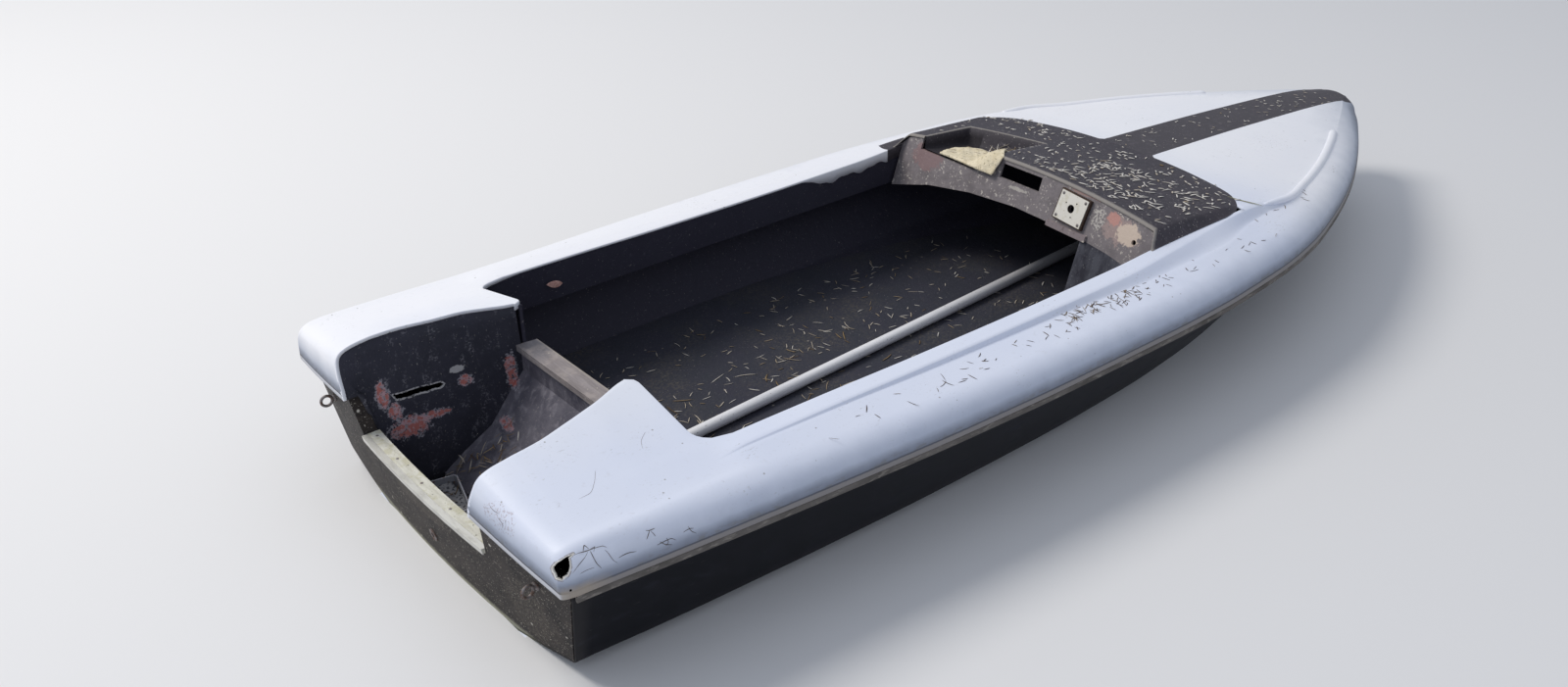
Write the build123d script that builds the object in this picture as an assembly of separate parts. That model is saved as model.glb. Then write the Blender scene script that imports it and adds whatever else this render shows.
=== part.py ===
from build123d import *
from collections import namedtuple
from math import cos, radians, sin, sqrt, tan
import os

os.makedirs("parts", exist_ok=True)

# An open glass-fibre speedboat, afloat, in millimetres.
# X runs forward from the transom's outer face at the waterline, Y to port, Z up from the water.

# hull and deck mouldings
deck_length = 3850.0          # from the datum to the foredeck's last full section
half_beam = 784.0             # centreline to the outside of the deck edge, at its widest
hull_wall = 9.0               # laminate of the hull
deck_wall = 7.0               # laminate of the deck
deck_overhang = 14.0          # how far the deck edge stands outside the hull
deck_edge_flare = 5.0         # how far the deck's outer face leans in
face_share = 0.35             # share of the deck edge's height below its round shoulder
transom_rake = 9.6            # degrees, top aft
transom_bow = 35.0            # how far the transom curves forward at the chines
transom_bow_at = 600.0        # half breadth at which that curve is measured
transom_thickness = 38.0

# cutout for the motor
cut_top_half = 345.0
cut_bottom_half = 322.0
cut_height = 225.0            # top of the transom in the cutout, above the water
cap_thickness = 15.0
cap_width = 48.0
cap_overlap = 5.0
angle_thickness = 2.5
angle_drop = 17.0
angle_width = 14.0

# cockpit
cockpit_start = 440.0         # forward face of the quarter decks
dash_place = 2120.0           # top edge of the dash
dash_tilt = 20.0              # degrees, bottom aft
dash_thickness = 9.0
foredeck_start = 2500.0
inner_half = 550.0            # half width of the cockpit between the coamings
sole_top = 65.0
sole_thickness = 9.0
sole_gap = 2.2                # between the sole's edges and the hull's sides
sole_end = 2900.0
side_panel_wall = 5.0
side_panel_foot = 300.0       # height of the side panels' lower edge
side_panel_lean = 12.0

# motor well
well_floor_top = 30.0
well_wall = 8.0
thwart_width = 62.0
thwart_thickness = 18.0
thwart_top = 372.0
thwart_place = 408.0

# quarter decks
quarter_aft = -64.0           # aft end of the quarter decks' inner edge
quarter_half_aft = 334.0      # half width between them at the stern
quarter_half_front = 266.0    # and at the cockpit
quarter_top_aft = 446.0
quarter_top_front = 499.0
quarter_lip = 12.0            # depth of the inner edge
flange_rise = 35.0            # how much higher the stern flange is at the motor well than at the corner
bulkhead_thickness = 10.0

# hood, tray and dash
hood_wall = 6.0
tray_wall = 4.0
tray_port = 452.0
tray_starboard = 215.0
tray_slope = 70.0             # how far the tray's starboard side leans out
tray_front = 2400.0
tray_skew = 68.0              # how much further aft its front edge is at the port side
tray_floor_aft = 446.0
tray_floor_front = 398.0
board_thickness = 9.0
gusset_thickness = 5.0
dash_top = 515.0
slot_port = 96.0
slot_starboard = -73.0
slot_top = 495.0
slot_low = 450.0
steering_y = -222.0
steering_z = 443.0
steering_hole = 13.0
plate_width = 108.0
plate_height = 90.0
plate_thickness = 3.0
plate_turn = -5.0             # degrees
pad_thickness = 12.0
batten_thickness = 9.0
screw_hole = 2.5
screw_spacing_x = 90.0
screw_spacing_y = 72.0

# small pieces
rib_start = 2640.0
rib_end = 3430.0
rib_seat = 0.7                # height of the ribs' feet over the step line
eye_foot = 3.0                # thickness of the eyes' round feet
eye_foot_radius = 12.0
eye_shank = 6.0
stern_eye_y = 535.0
stern_eye_z = 252.0
bow_eye_z = 170.0
drain_z = 92.0
drain_radius = 8.0
drain_wall = 2.0
drain_rim = 10.0
drain_flange = 3.0
strake_height = 22.0
strake_proud = 3.0
rib_width = 18.0
rib_height = 8.0
pole_radius = 18.0
eye_wire = 4.0
eye_radius = 15.0             # to the middle of the wire
eye_bore = 11.4               # the ring is worn flat inside
seat_gap = 0.3

# Lines of the mouldings, one row a station: place is a share of deck_length, breadth and chine_breadth are
# shares of half_beam, roll is the width of the deck's round shoulder, and step is where the raised middle of the
# deck begins: outside the cockpit's edge, or inside the deck's edge forward of the cockpit. The step's sloping
# face drops by rise over the width face.
Station = namedtuple(
    "Station", "place breadth sheer chine_breadth chine keel shoulder crown step step_z rise roll face")
LINES = [Station(*row) for row in (
    (-0.021, 0.889, 317, 0.763, 45, -87, 416, 520, 56, 434, 3, 67, 6),
    (0.0, 0.893, 316, 0.765, 45, -88, 416, 520, 56, 434, 3, 67, 6),
    (0.062, 0.917, 314, 0.781, 43, -92, 416, 520, 56, 434, 3, 67, 6),
    (0.114, 0.936, 312, 0.791, 42, -96, 416, 520, 56, 434, 3, 67, 6),
    (0.197, 0.964, 310, 0.804, 42, -101, 410, 518, 56, 431, 6, 67, 6),
    (0.291, 0.988, 308, 0.814, 44, -106, 402, 516, 56, 424, 10, 67, 6),
    (0.390, 1.0, 307, 0.816, 50, -110, 396, 514, 56, 421, 14, 67, 8),
    (0.488, 1.0, 306, 0.804, 60, -113, 393, 512, 57, 423, 22, 67, 30),
    (0.551, 0.990, 305, 0.781, 70, -114, 392, 508, 46, 432, 28, 67, 45),
    (0.597, 0.971, 305, 0.753, 80, -113, 391, 480, 27, 434, 29, 67, 62),
    (0.649, 0.939, 304, 0.697, 95, -108, 390, 454, 10, 433, 28, 67, 30),
    (0.701, 0.884, 303, 0.617, 113, -98, 388, 442, 133, 412, 8, 67, 12),
    (0.753, 0.800, 302, 0.517, 134, -80, 384, 431, 122, 395, 1, 67, 10),
    (0.805, 0.699, 301, 0.411, 157, -54, 379, 419, 116, 389, 1, 67, 10),
    (0.857, 0.577, 300, 0.304, 181, -18, 373, 405, 112, 382, 1, 67, 10),
    (0.904, 0.447, 299, 0.213, 204, 30, 366, 392, 107, 375, 1, 67, 10),
    (0.943, 0.327, 298, 0.141, 224, 88, 358, 380, 96, 367, 1, 64, 10),
    (0.971, 0.235, 298, 0.089, 240, 150, 352, 370, 84, 360, 1, 58, 10),
    (0.987, 0.174, 298, 0.059, 250, 195, 348, 363, 74, 355, 1, 52, 10),
    (1.0, 0.128, 298, 0.038, 256, 230, 344, 356, 58, 350, 1, 38, 10),
    (1.0045, 0.107, 298, 0.030, 260, 240, 332, 344, 52, 338, 1, 30, 9),
    (1.0065, 0.094, 298, 0.025, 262, 244, 318, 327, 48, 323, 1, 26, 8))]


def blend(a, b, t):
    """Value a share t of the way from a to b."""
    return a + (b - a) * t


def scaled(row):
    """A row of the table with its shares turned to millimetres, and its step measured from the centreline."""
    place, breadth = row.place * deck_length, row.breadth * half_beam
    step = inner_half + row.step if place < foredeck_start else breadth - row.step
    return row._replace(place=place, breadth=breadth, chine_breadth=row.chine_breadth * half_beam, step=step)


STATIONS = [scaled(row) for row in LINES]


def station(x):
    """The lines at any place x, straight between two stations."""
    for a, b in zip(STATIONS, STATIONS[1:]):
        if x <= b.place or b is STATIONS[-1]:
            t = (x - a.place) / (b.place - a.place)
            return Station(*(blend(u, v, t) for u, v in zip(a, b)))


def run(start, end):
    """Stations from start to end, with every row of the table between them."""
    between = [row.place for row in STATIONS if start + 1 < row.place < end - 1]
    return [station(x) for x in [start, *between, end]]


def hull_half(st, z, wall=0.0):
    """Half breadth of the hull at height z, measured inside a wall of that thickness."""
    top_y = st.breadth - deck_overhang - wall
    chine_y = st.chine_breadth - wall
    chine_z = st.chine + wall * 0.6
    keel_z = st.keel + wall * 1.1
    if z >= chine_z:
        return blend(chine_y, top_y, (z - chine_z) / (st.sheer - chine_z))
    return max(chine_y * (z - keel_z) / (chine_z - keel_z), 0.5)


def polygon(x, points):
    """Closed wire through (y, z) points in the plane at x, or at the x that each point gives itself."""
    corners = [Vector(*p) if len(p) == 3 else Vector(x, *p) for p in points]
    return Wire.make_polygon(corners, close=True)


def path_wire(x, start, steps):
    """Closed wire: each step is an end point, or a middle and an end point for an arc."""
    edges = []
    at = Vector(x, *start)
    for step in steps:
        if len(step) == 2 and isinstance(step[0], tuple):
            middle, end = Vector(x, *step[0]), Vector(x, *step[1])
            edges.append(Edge.make_three_point_arc(at, middle, end))
        else:
            end = Vector(x, *step)
            edges.append(Edge.make_line(at, end))
        at = end
    edges.append(Edge.make_line(at, Vector(x, *start)))
    return Wire(edges)


def ruled(wires):
    """Solid with straight rulings from each section to the next."""
    return Solid.make_loft(wires, ruled=True)


def mirrored(points):
    """The same (y, z) points on the other side, in reverse order."""
    return [(-y, z) for y, z in reversed(points)]


def prism_x(points, start, end):
    """Polygon in (y, z) carried from start to end along X."""
    return ruled([polygon(start, points), polygon(end, points)])


def prism_y(points, start, end):
    """Polygon in (x, z) carried from start to end along Y."""
    return ruled([polygon(0, [(x, y, z) for x, z in points]) for y in (start, end)])


def prism_z(points, low, high):
    """Polygon in (x, y) carried from low to high along Z."""
    return ruled([polygon(0, [(x, y, z) for x, y in points]) for z in (low, high)])


def common(a, b):
    """The one solid that two solids share."""
    return a.intersect(b).solids()[0]


def flip(shape):
    """The port piece as its starboard twin."""
    return mirror(shape, about=Plane.XZ)


def save(shape, name):
    shape.label = name
    export_step(shape, f"parts/{name}.step")


# Transom surface: a gentle curve in plan, carried up along the rake.
def transom_x(y, z, forward=0.0):
    """Place of the transom's outer face, or of the surface that far inside it."""
    return forward - z * tan(radians(transom_rake)) + transom_bow * (y / transom_bow_at) ** 2


def transom_slab(outer, inner, low, high):
    """Curved slab between two distances inside the transom's face."""
    far = half_beam + 40

    def plan(z):
        mid_out, mid_in = transom_x(0, z, outer), transom_x(0, z, inner)
        end_out, end_in = transom_x(far, z, outer), transom_x(far, z, inner)
        out = Edge.make_three_point_arc((end_out, -far, z), (mid_out, 0, z), (end_out, far, z))
        back = Edge.make_three_point_arc((end_in, far, z), (mid_in, 0, z), (end_in, -far, z))
        side_a = Edge.make_line((end_out, far, z), (end_in, far, z))
        side_b = Edge.make_line((end_in, -far, z), (end_out, -far, z))
        return Wire([out, side_a, back, side_b])

    return ruled([plan(low), plan(high)])


# Hull
def hull_outline(st, wall=0.0):
    """Port half of the hull's section, from the sheer to the keel."""
    top_y = st.breadth - deck_overhang - wall
    return [(top_y, st.sheer), (st.chine_breadth - wall, st.chine + wall * 0.6), (0, st.keel + wall * 1.1)]


def hull_shell():
    def band(st):
        outer = hull_outline(st)
        inner = hull_outline(st, hull_wall)
        return polygon(st.place, outer + mirrored(outer[:2]) + [(-y, z) for y, z in inner[:2]] + inner[::-1])

    stations = run(STATIONS[0].place, deck_length)
    shell = ruled([band(st) for st in stations])
    last = stations[-1]
    outline = hull_outline(last)
    stem = prism_x(outline + mirrored(outline[:2]), last.place, last.place + hull_wall)
    aft = transom_slab(-300, 0, -200, 400)
    return shell.fuse(stem).cut(aft)


def hull_inside(start, end, above=60.0):
    """Solid of the space inside the hull, reaching above the sheer."""
    def section(st):
        top, chine, keel = hull_outline(st, hull_wall + seat_gap)
        higher = (blend(chine[0], top[0], (top[1] + above - chine[1]) / (top[1] - chine[1])), top[1] + above)
        half = [higher, chine, keel]
        return polygon(st.place, half + mirrored(half[:2]))

    return ruled([section(st) for st in run(start, end)])


def transom():
    blank = common(transom_slab(0, transom_thickness, -200, 400), hull_inside(STATIONS[0].place, 240))
    aft = station(0)
    slope = flange_rise / (aft.breadth - quarter_half_aft)
    corner = aft.sheer - seat_gap - (half_beam - aft.breadth) * slope
    inner = aft.sheer - seat_gap + (aft.breadth - cut_top_half) * slope
    top = [(half_beam, corner - 3), (cut_top_half, inner - 3), (cut_bottom_half, cut_height)]
    keep = prism_x(top + mirrored(top) + [(-half_beam, -200), (half_beam, -200)], -250, 250)
    return common(blank, keep).cut(drain_cylinder(drain_radius + drain_wall + seat_gap, -60, 90))


def drain_cylinder(radius, start, end):
    """Cylinder square to the transom at the drain, between two distances inside its face."""
    rake = radians(transom_rake)
    face = Plane(origin=(transom_x(0, drain_z), 0, drain_z), z_dir=(cos(rake), 0, sin(rake)))
    return Solid.make_cylinder(radius, end - start, face.offset(start))


def cap_plank():
    low, high = cut_height, cut_height + cap_thickness
    strip = transom_slab(-cap_overlap, cap_width - cap_overlap, low, high)
    rebate = transom_slab(-2 * cap_overlap, angle_width - cap_overlap + seat_gap,
                          high - angle_thickness - seat_gap, high + 1)
    half = cut_bottom_half - 1
    return common(strip, Solid.make_box(400, 2 * half, 800, Plane((-200, -half, -400)))).cut(rebate)


def cap_angle():
    low, high = cut_height, cut_height + cap_thickness
    out = -cap_overlap - seat_gap
    leg = transom_slab(out - angle_thickness, out, high - angle_drop, high)
    top = transom_slab(out - angle_thickness, angle_width - cap_overlap, high - angle_thickness, high)
    half = cut_bottom_half - 1
    return common(leg.fuse(top), Solid.make_box(400, 2 * half, 800, Plane((-200, -half, -400))))


def keel_strip():
    width, depth = 14.0, 10.0

    def section(st):
        return polygon(st.place, [(width, st.keel - seat_gap), (-width, st.keel - seat_gap),
                                  (-width, st.keel - depth), (width, st.keel - depth)])

    return ruled([section(st) for st in run(120, 3000)])


def spray_rail():
    width, depth = 20.0, 9.0

    def section(st):
        slope = (st.chine - st.keel) / st.chine_breadth
        y = st.chine_breadth * 0.52
        z = st.keel + slope * y - seat_gap
        return polygon(st.place, [(y, z), (y + width, z + slope * width), (y + width, z - depth)])

    return ruled([section(st) for st in run(200, 2900)])


def rub_strake():
    def section(st):
        top, low = st.sheer - seat_gap, st.sheer - strake_height
        outer = st.breadth + strake_proud
        return polygon(st.place, [(outer, top), (outer, low), (hull_half(st, low) + seat_gap, low),
                                  (hull_half(st, top) + seat_gap, top)])

    return ruled([section(st) for st in run(0, deck_length)])


def rub_strake_bow():
    st = station(deck_length)
    nose = STATIONS[-1]
    half = st.breadth + strake_proud
    front = nose.place + strake_proud
    start, back = deck_length + seat_gap, deck_length + hull_wall + seat_gap
    hull = hull_half(st, st.sheer) + seat_gap
    port = [(start, hull), (start, half), (back + 8, half - 4), (front, nose.breadth)]
    outline = port + [(x, -y) for x, y in reversed(port)] + [(back, -hull), (back, hull)]
    return prism_z(outline, st.sheer - strake_height, st.sheer - seat_gap)


# Deck
def edge_points(st, wall=0.0):
    """Outer face foot, face top, middle of the roll and shoulder, all moved in by wall."""
    face_z = st.sheer + (st.shoulder - st.sheer) * face_share
    face_y = st.breadth - deck_edge_flare - wall
    shoulder = (st.breadth - deck_edge_flare - st.roll, st.shoulder - wall)
    middle = (face_y - 0.27 * (face_y - shoulder[0]), shoulder[1] - 0.27 * (shoulder[1] - face_z))
    return (st.breadth - wall, st.sheer), (face_y, face_z), middle, shoulder


def side_deck():
    """Port side deck, from the quarter deck to the foredeck."""
    def section(st):
        foot, face, middle, shoulder = edge_points(st)
        foot_i, face_i, middle_i, shoulder_i = edge_points(st, deck_wall)
        inner_z = st.step_z + 2
        step_low = (st.step + st.face, st.step_z - st.rise)
        steps = [face, (middle, shoulder), step_low, (st.step, st.step_z), (inner_half, inner_z),
                 (inner_half, inner_z - deck_wall), (st.step - deck_wall * 0.5, st.step_z - deck_wall),
                 (step_low[0] - deck_wall * 0.5, step_low[1] - deck_wall), shoulder_i,
                 (middle_i, face_i), foot_i]
        return path_wire(st.place, foot, steps)

    return ruled([section(st) for st in run(cockpit_start, foredeck_start)])


def foredeck():
    def section(st):
        def half(wall):
            foot, face, middle, shoulder = edge_points(st, wall)
            return foot, face, middle, shoulder, (st.step + st.face - wall * 0.5, st.step_z - st.rise - wall), \
                (st.step - wall * 0.5, st.step_z - wall)

        foot, face, middle, shoulder, low, high = half(0)
        foot_i, face_i, middle_i, shoulder_i, low_i, high_i = half(deck_wall)

        def other(p):
            return (-p[0], p[1])

        steps = [face, (middle, shoulder), low, high, ((0, st.crown), other(high)), other(low),
                 other(shoulder), (other(middle), other(face)), other(foot), other(foot_i), other(face_i),
                 (other(middle_i), other(shoulder_i)), other(low_i), other(high_i),
                 ((0, st.crown - deck_wall), high_i), low_i, shoulder_i, (middle_i, face_i), foot_i]
        return path_wire(st.place, foot, steps)

    last = STATIONS[-1]
    shell = ruled([section(st) for st in run(foredeck_start, last.place)])
    foot, face, middle, shoulder = edge_points(last)
    nose = [foot, face, middle, shoulder, (0, last.crown)]
    front = prism_x(nose + mirrored(nose[:4]), last.place - deck_wall, last.place)
    return shell.fuse(front)


# Quarter decks: raised broad decks each side of the motor well, rolled down at the stern.
# One row a section there: place of its inner and outer ends, share of the full height, inset of the corner.
ROLL_DOWN = ((-64, -30, 0.22, 30), (-57, -22, 0.62, 14), (-40, -8, 0.86, 4), (-10, 14, 0.97, 0),
             (45, 45, 1.0, 0))


def quarter_inner(x):
    """Half width between the quarter decks at x."""
    return blend(quarter_half_aft, quarter_half_front, (x - quarter_aft) / (cockpit_start - quarter_aft))


def quarter_top(x):
    """Height of the quarter deck's inner edge."""
    start = ROLL_DOWN[-1][0]
    return blend(quarter_top_aft, quarter_top_front, max(x - start, -60) / (cockpit_start - start))


def quarter_base(x):
    """Height of the inner edge's lower lip, where the motor well's side begins."""
    aft = station(0).sheer + flange_rise
    start, end = ROLL_DOWN[3][0], ROLL_DOWN[4][0]
    if x <= start:
        return aft
    forward = quarter_top(x) - quarter_lip
    return forward if x >= end else blend(aft, quarter_top(end) - quarter_lip, (x - start) / (end - start))


def quarter_block(wall):
    """Port quarter deck as a closed block, or the space inside a wall of that thickness."""
    def section(inner_x, outer_x, share, inset):
        st = station(outer_x)
        y_in = quarter_inner(inner_x) + wall
        base_in, base_out = quarter_base(inner_x), st.sheer
        shift = wall if inner_x < 0 else 0
        foot, face, middle, shoulder = edge_points(st)

        def placed(y, z, base, moved):
            y = y - inset * moved - (wall if moved else 0)
            x = blend(inner_x, outer_x, (y - y_in) / (foot[0] - y_in)) + shift
            return (x, y, base + (z - base) * share - wall)

        top = [placed(*face, base_out, 1), placed(*middle, base_out, 1), placed(*shoulder, base_out, 0.5),
               placed(y_in, quarter_top(inner_x), base_in, 0)]
        drop = 60 if wall else 0
        first = placed(foot[0], base_out, base_out, 1)
        lip = placed(y_in + deck_wall + seat_gap, base_in, base_in, 0)
        bottom = [(inner_x + shift, y_in, base_in - drop), (lip[0], lip[1], base_in - drop),
                  (first[0], first[1], base_out - drop)]
        return polygon(0, top + bottom)

    front = cockpit_start + (1 if wall else 0)
    middle = STATIONS[2].place
    rows = [*ROLL_DOWN, (middle, middle, 1.0, 0), (front, front, 1.0, 0)]
    return ruled([section(*row) for row in rows])


def quarter_deck():
    return quarter_block(0).cut(quarter_block(deck_wall))


def torn_quarter_deck():
    """Starboard quarter deck, with a hole broken through its aft outer corner."""
    edge = [(-30, -657), (-27, -651), (-20, -649), (-8, -659), (11, -667), (-3, -668), (-7, -681), (-16, -679),
            (-27, -667)]
    return flip(quarter_deck()).cut(prism_z(edge, station(0).sheer + 12, 500))


def foredeck_rib():
    """Half-round rib moulded on the port foredeck, along the step line."""
    places = [rib_start] + [row.place for row in STATIONS if rib_start < row.place < rib_end] + [rib_end]
    line = [(x, station(x).step + 6, station(x).step_z) for x in places]
    wires = []
    for i, (x, y, z) in enumerate(line):
        before, after = line[max(i - 1, 0)], line[min(i + 1, len(line) - 1)]
        run_x, run_y = after[0] - before[0], after[1] - before[1]
        size = sqrt(run_x ** 2 + run_y ** 2)
        across = (-run_y / size, run_x / size)
        half = rib_width / 2 * (0.5 if i in (0, len(line) - 1) else 1)
        tall = rib_height * (0.4 if i in (0, len(line) - 1) else 1)
        shape = [(-half, 0), (-half * 0.5, tall * 0.8), (0, tall), (half * 0.5, tall * 0.8), (half, 0)]
        wires.append(polygon(0, [(x + across[0] * u, y + across[1] * u, z + v + rib_seat) for u, v in shape]))
    return ruled(wires)


# Hood over the dash: one row a section, with its half width, corner height, centre height.
HOOD = ((dash_place, 528, 475, 515), (2300.0, 530, 462, 488), (foredeck_start, 532, 446, 457))


def hood_lines(x):
    for a, b in zip(HOOD, HOOD[1:]):
        if x <= b[0] or b is HOOD[-1]:
            return [blend(u, v, (x - a[0]) / (b[0] - a[0])) for u, v in zip(a, b)]


def hood_z(x, y):
    """Top of the hood at x, y: an arc across its two corners."""
    _, half, corner, crown = hood_lines(x)
    rise = crown - corner
    radius = (half ** 2 + rise ** 2) / (2 * rise)
    return crown - radius + sqrt(radius ** 2 - y ** 2)


def hood_section(x, wall):
    _, half, corner, crown = hood_lines(x)
    foot_z = station(x).step_z + 2 + seat_gap
    half, corner, crown = half - wall, corner - wall, crown - wall
    foot = inner_half + hood_wall - wall
    return foot, foot_z, half, corner, crown


def hood():
    def section(x):
        foot, foot_z, half, corner, crown = hood_section(x, 0)
        foot_i, _, half_i, corner_i, crown_i = hood_section(x, hood_wall)
        steps = [(half, corner), ((0, crown), (-half, corner)), (-foot, foot_z), (-foot_i, foot_z),
                 (-half_i, corner_i), ((0, crown_i), (half_i, corner_i)), (foot_i, foot_z)]
        return path_wire(x, (foot, foot_z), steps)

    shell = ruled([section(row[0]) for row in HOOD[:2]] + [section(foredeck_start - seat_gap)])
    return shell.cut(tray_space(0))


# Tray in the port side of the hood, open aft over the dash.
def tray_floor(x):
    return blend(tray_floor_aft, tray_floor_front, (x - dash_place) / (tray_front - dash_place))


def tray_space(wall):
    """The tray's open space, or that space grown by its wall and cut off under the hood."""
    def section(x):
        low = tray_floor(x) - wall
        left, right = tray_port + wall, tray_starboard - wall
        if wall:
            top = hood_z(x, left) - hood_wall - 1
            tops = [(left, top), (right - tray_slope, top)]
        else:
            tops = [(left, 560), (right - tray_slope, 560)]
        return polygon(x, [tops[0], (left, low), (right, low), tops[1]])

    start = dash_place if wall else dash_place - 60
    inner, outer = tray_starboard - tray_slope - wall - 1, tray_port + wall + 1
    plan = [(start - 1, inner), (start - 1, outer), (tray_front + wall - tray_skew, outer), (tray_front + wall, inner)]
    return common(ruled([section(start), section(tray_front + wall + 1)]), prism_z(plan, 300, 600))


def tray():
    return tray_space(tray_wall).cut(tray_space(0))


def tray_board():
    """Loose pale board lying on the tray's floor."""
    outline = [(2141, 400), (2159, 432), (2268, 433), (2317, 401), (2289, 268), (2169, 222)]

    def layer(rise):
        return polygon(0, [(x, y, tray_floor(x) + rise) for x, y in outline])

    return ruled([layer(seat_gap), layer(board_thickness)])


# Dash: a panel across the cockpit, its lower edge leaning aft and arched.
def dash_x(z, forward=0.0):
    return dash_place - (dash_top - z) * tan(radians(dash_tilt)) + forward


def dash_solid(points, back, front):
    """Outline in (y, z) carried between two distances forward of the dash's aft face."""
    return ruled([polygon(0, [(dash_x(z, d), y, z) for y, z in points]) for d in (back, front)])


DASH_ARCH = [(546, 300), (380, 345), (200, 372), (0, 384), (-200, 378), (-380, 360), (-546, 332)]


def dash_panel():
    half = DASH_ARCH[0][0]
    top_y = hood_lines(dash_place)[1] - hood_wall - 1
    under = hood_wall + 2 * seat_gap
    crown = [(y, hood_z(dash_place + dash_thickness, y) - under) for y in range(-480, 140, 60)]
    port_crown = [(y, hood_z(dash_place + dash_thickness, y) - under) for y in (tray_port + tray_wall + 2, 490)]
    tray_low = tray_floor_aft - tray_wall - seat_gap
    corner_z = hood_lines(dash_place)[2] - hood_wall
    edge = [(-half, corner_z - 29), (-top_y, corner_z - 4), *crown,
            (tray_starboard - tray_slope, tray_low + 30), (tray_starboard - tray_wall - 2, tray_low),
            (tray_port + tray_wall + 2, tray_low), *port_crown,
            (top_y, corner_z - 4), (half, corner_z - 29)]
    panel = dash_solid(edge + DASH_ARCH, 0, dash_thickness)
    slot = [(slot_port, slot_top), (slot_port, slot_low), (slot_starboard, slot_low),
            (slot_starboard, slot_top)]
    panel = panel.cut(dash_solid(slot, -60, 60))
    return panel.cut(dash_hole(steering_y, steering_z, steering_hole + 4)).cut(dash_hole(-466, 418, 8))


def dash_plane(y, z, forward):
    """Plane on the dash's aft face or parallel to it, its x axis to starboard and y axis up the face."""
    tilt = radians(dash_tilt)
    return Plane(origin=(dash_x(z, forward), y, z), x_dir=(0, -1, 0), z_dir=(-cos(tilt), 0, sin(tilt)))


def dash_hole(y, z, radius):
    return Solid.make_cylinder(radius, 160, dash_plane(y, z, 0).offset(-80))


def on_dash(width, height, low, high, turn=0.0):
    """Block on the dash at the steering centre, from low to high above its aft face."""
    base = dash_plane(steering_y, steering_z, 0)
    block = Box(width, height, high - low).moved(Location((0, 0, (low + high) / 2), (0, 0, turn)))
    return block.moved(base.location)


def steering_pad():
    pad = on_dash(plate_width + 10, plate_height + 8, seat_gap, pad_thickness, plate_turn)
    return pad.cut(dash_hole(steering_y, steering_z, steering_hole + 2))


def steering_plate():
    low, high = pad_thickness, pad_thickness + plate_thickness
    plate = on_dash(plate_width, plate_height, low, high, plate_turn).cut(
        dash_hole(steering_y, steering_z, steering_hole))
    base = dash_plane(steering_y, steering_z, 0)
    turn = Location((0, 0, 0), (0, 0, plate_turn))
    for u in (-1, 1):
        for v in (-1, 1):
            spot = Location((u * screw_spacing_x / 2, v * screw_spacing_y / 2, -80))
            plate = plate.cut(Solid.make_cylinder(screw_hole, 160).moved(base.location * turn * spot))
    return plate


def dash_batten():
    """Pale strip of wood along the lower edge, under the steering plate."""
    points = [(-140, 374), (-140, 390), (-300, 386), (-300, 368)]
    return dash_solid(points, -batten_thickness, -seat_gap)


def dash_gusset():
    """Thin grey panel hanging under the starboard end of the dash."""
    _, _, _, _, _, (outer, outer_z), (side, side_z) = DASH_ARCH
    points = [(outer + 100, outer_z + 9), (outer, outer_z), (side, side_z), (-540, 210), (-330, 200),
              (-280, 215)]
    return dash_solid([(y, z - seat_gap) for y, z in points], 0, gusset_thickness)


# Cockpit
def side_panel():
    """Port liner hanging from the coaming's inner edge."""
    def section(st):
        top = st.step_z + 2 - deck_wall - seat_gap
        low_y = inner_half + side_panel_lean
        return polygon(st.place, [(inner_half, top), (inner_half + side_panel_wall, top),
                                  (low_y + side_panel_wall, side_panel_foot), (low_y, side_panel_foot)])

    return ruled([section(st) for st in run(cockpit_start + seat_gap, dash_place)])


def sole():
    def section(st):
        low = sole_top - sole_thickness
        half = hull_half(st, low, hull_wall) - sole_gap
        return polygon(st.place, [(half, low), (half, sole_top), (-half, sole_top), (-half, low)])

    return ruled([section(st) for st in run(cockpit_start + seat_gap, sole_end)])


def aft_bulkhead():
    """Panel across the hull under the quarter decks' forward edges."""
    back, front = cockpit_start - bulkhead_thickness, cockpit_start - seat_gap
    st = station(back)
    inner_top, chine, keel = hull_outline(st, hull_wall + 1)
    shoulder = edge_points(st, deck_wall + 1)[3]
    well = quarter_inner(back) + seat_gap
    lip = quarter_inner(back) + deck_wall + 1
    half = [(well, thwart_top - thwart_thickness - seat_gap), (well, quarter_base(back) - 1),
            (lip, quarter_base(back) - 1), (lip, quarter_top(back) - deck_wall - 2),
            (shoulder[0] - 4, shoulder[1] - 2), (inner_top[0] - 1, inner_top[1]), chine, keel]
    return prism_x(half + mirrored(half[:-1]), back, front)


def well_side():
    """Port wall of the motor well, with a torn slot."""
    def layer(offset):
        foot, head = well_floor_top + seat_gap, quarter_base(-10) - seat_gap
        half = quarter_half_aft
        front = cockpit_start - bulkhead_thickness - seat_gap
        outline = [(transom_x(half, foot, transom_thickness) + 1, foot),
                   (transom_x(half, head, transom_thickness) + 1, head),
                   (ROLL_DOWN[4][0], quarter_base(ROLL_DOWN[4][0]) - seat_gap),
                   (front, quarter_base(front) - seat_gap), (front, foot)]
        return polygon(0, [(x, quarter_inner(x) + offset, z) for x, z in outline])

    wall = ruled([layer(0), layer(well_wall)])
    slot = [(48, 348), (200, 346), (202, 328), (90, 322)]
    return wall, wall.cut(prism_y(slot, 200, 420))


def well_floor():
    low = well_floor_top - well_wall
    slab = transom_slab(transom_thickness + seat_gap, 320, low, well_floor_top)
    front = WELL_FRONT[-1][0] + well_wall
    plan = [(-60, quarter_inner(-60) + well_wall), (front, quarter_inner(front) + well_wall),
            (front, -quarter_inner(front) - well_wall), (-60, -quarter_inner(-60) - well_wall)]
    return common(slab, prism_z(plan, -100, 100))


WELL_FRONT = ((420, 354), (420, 290), (365, 221), (313, 150), (230, 95), (165, 45), (165, 30))


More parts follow.
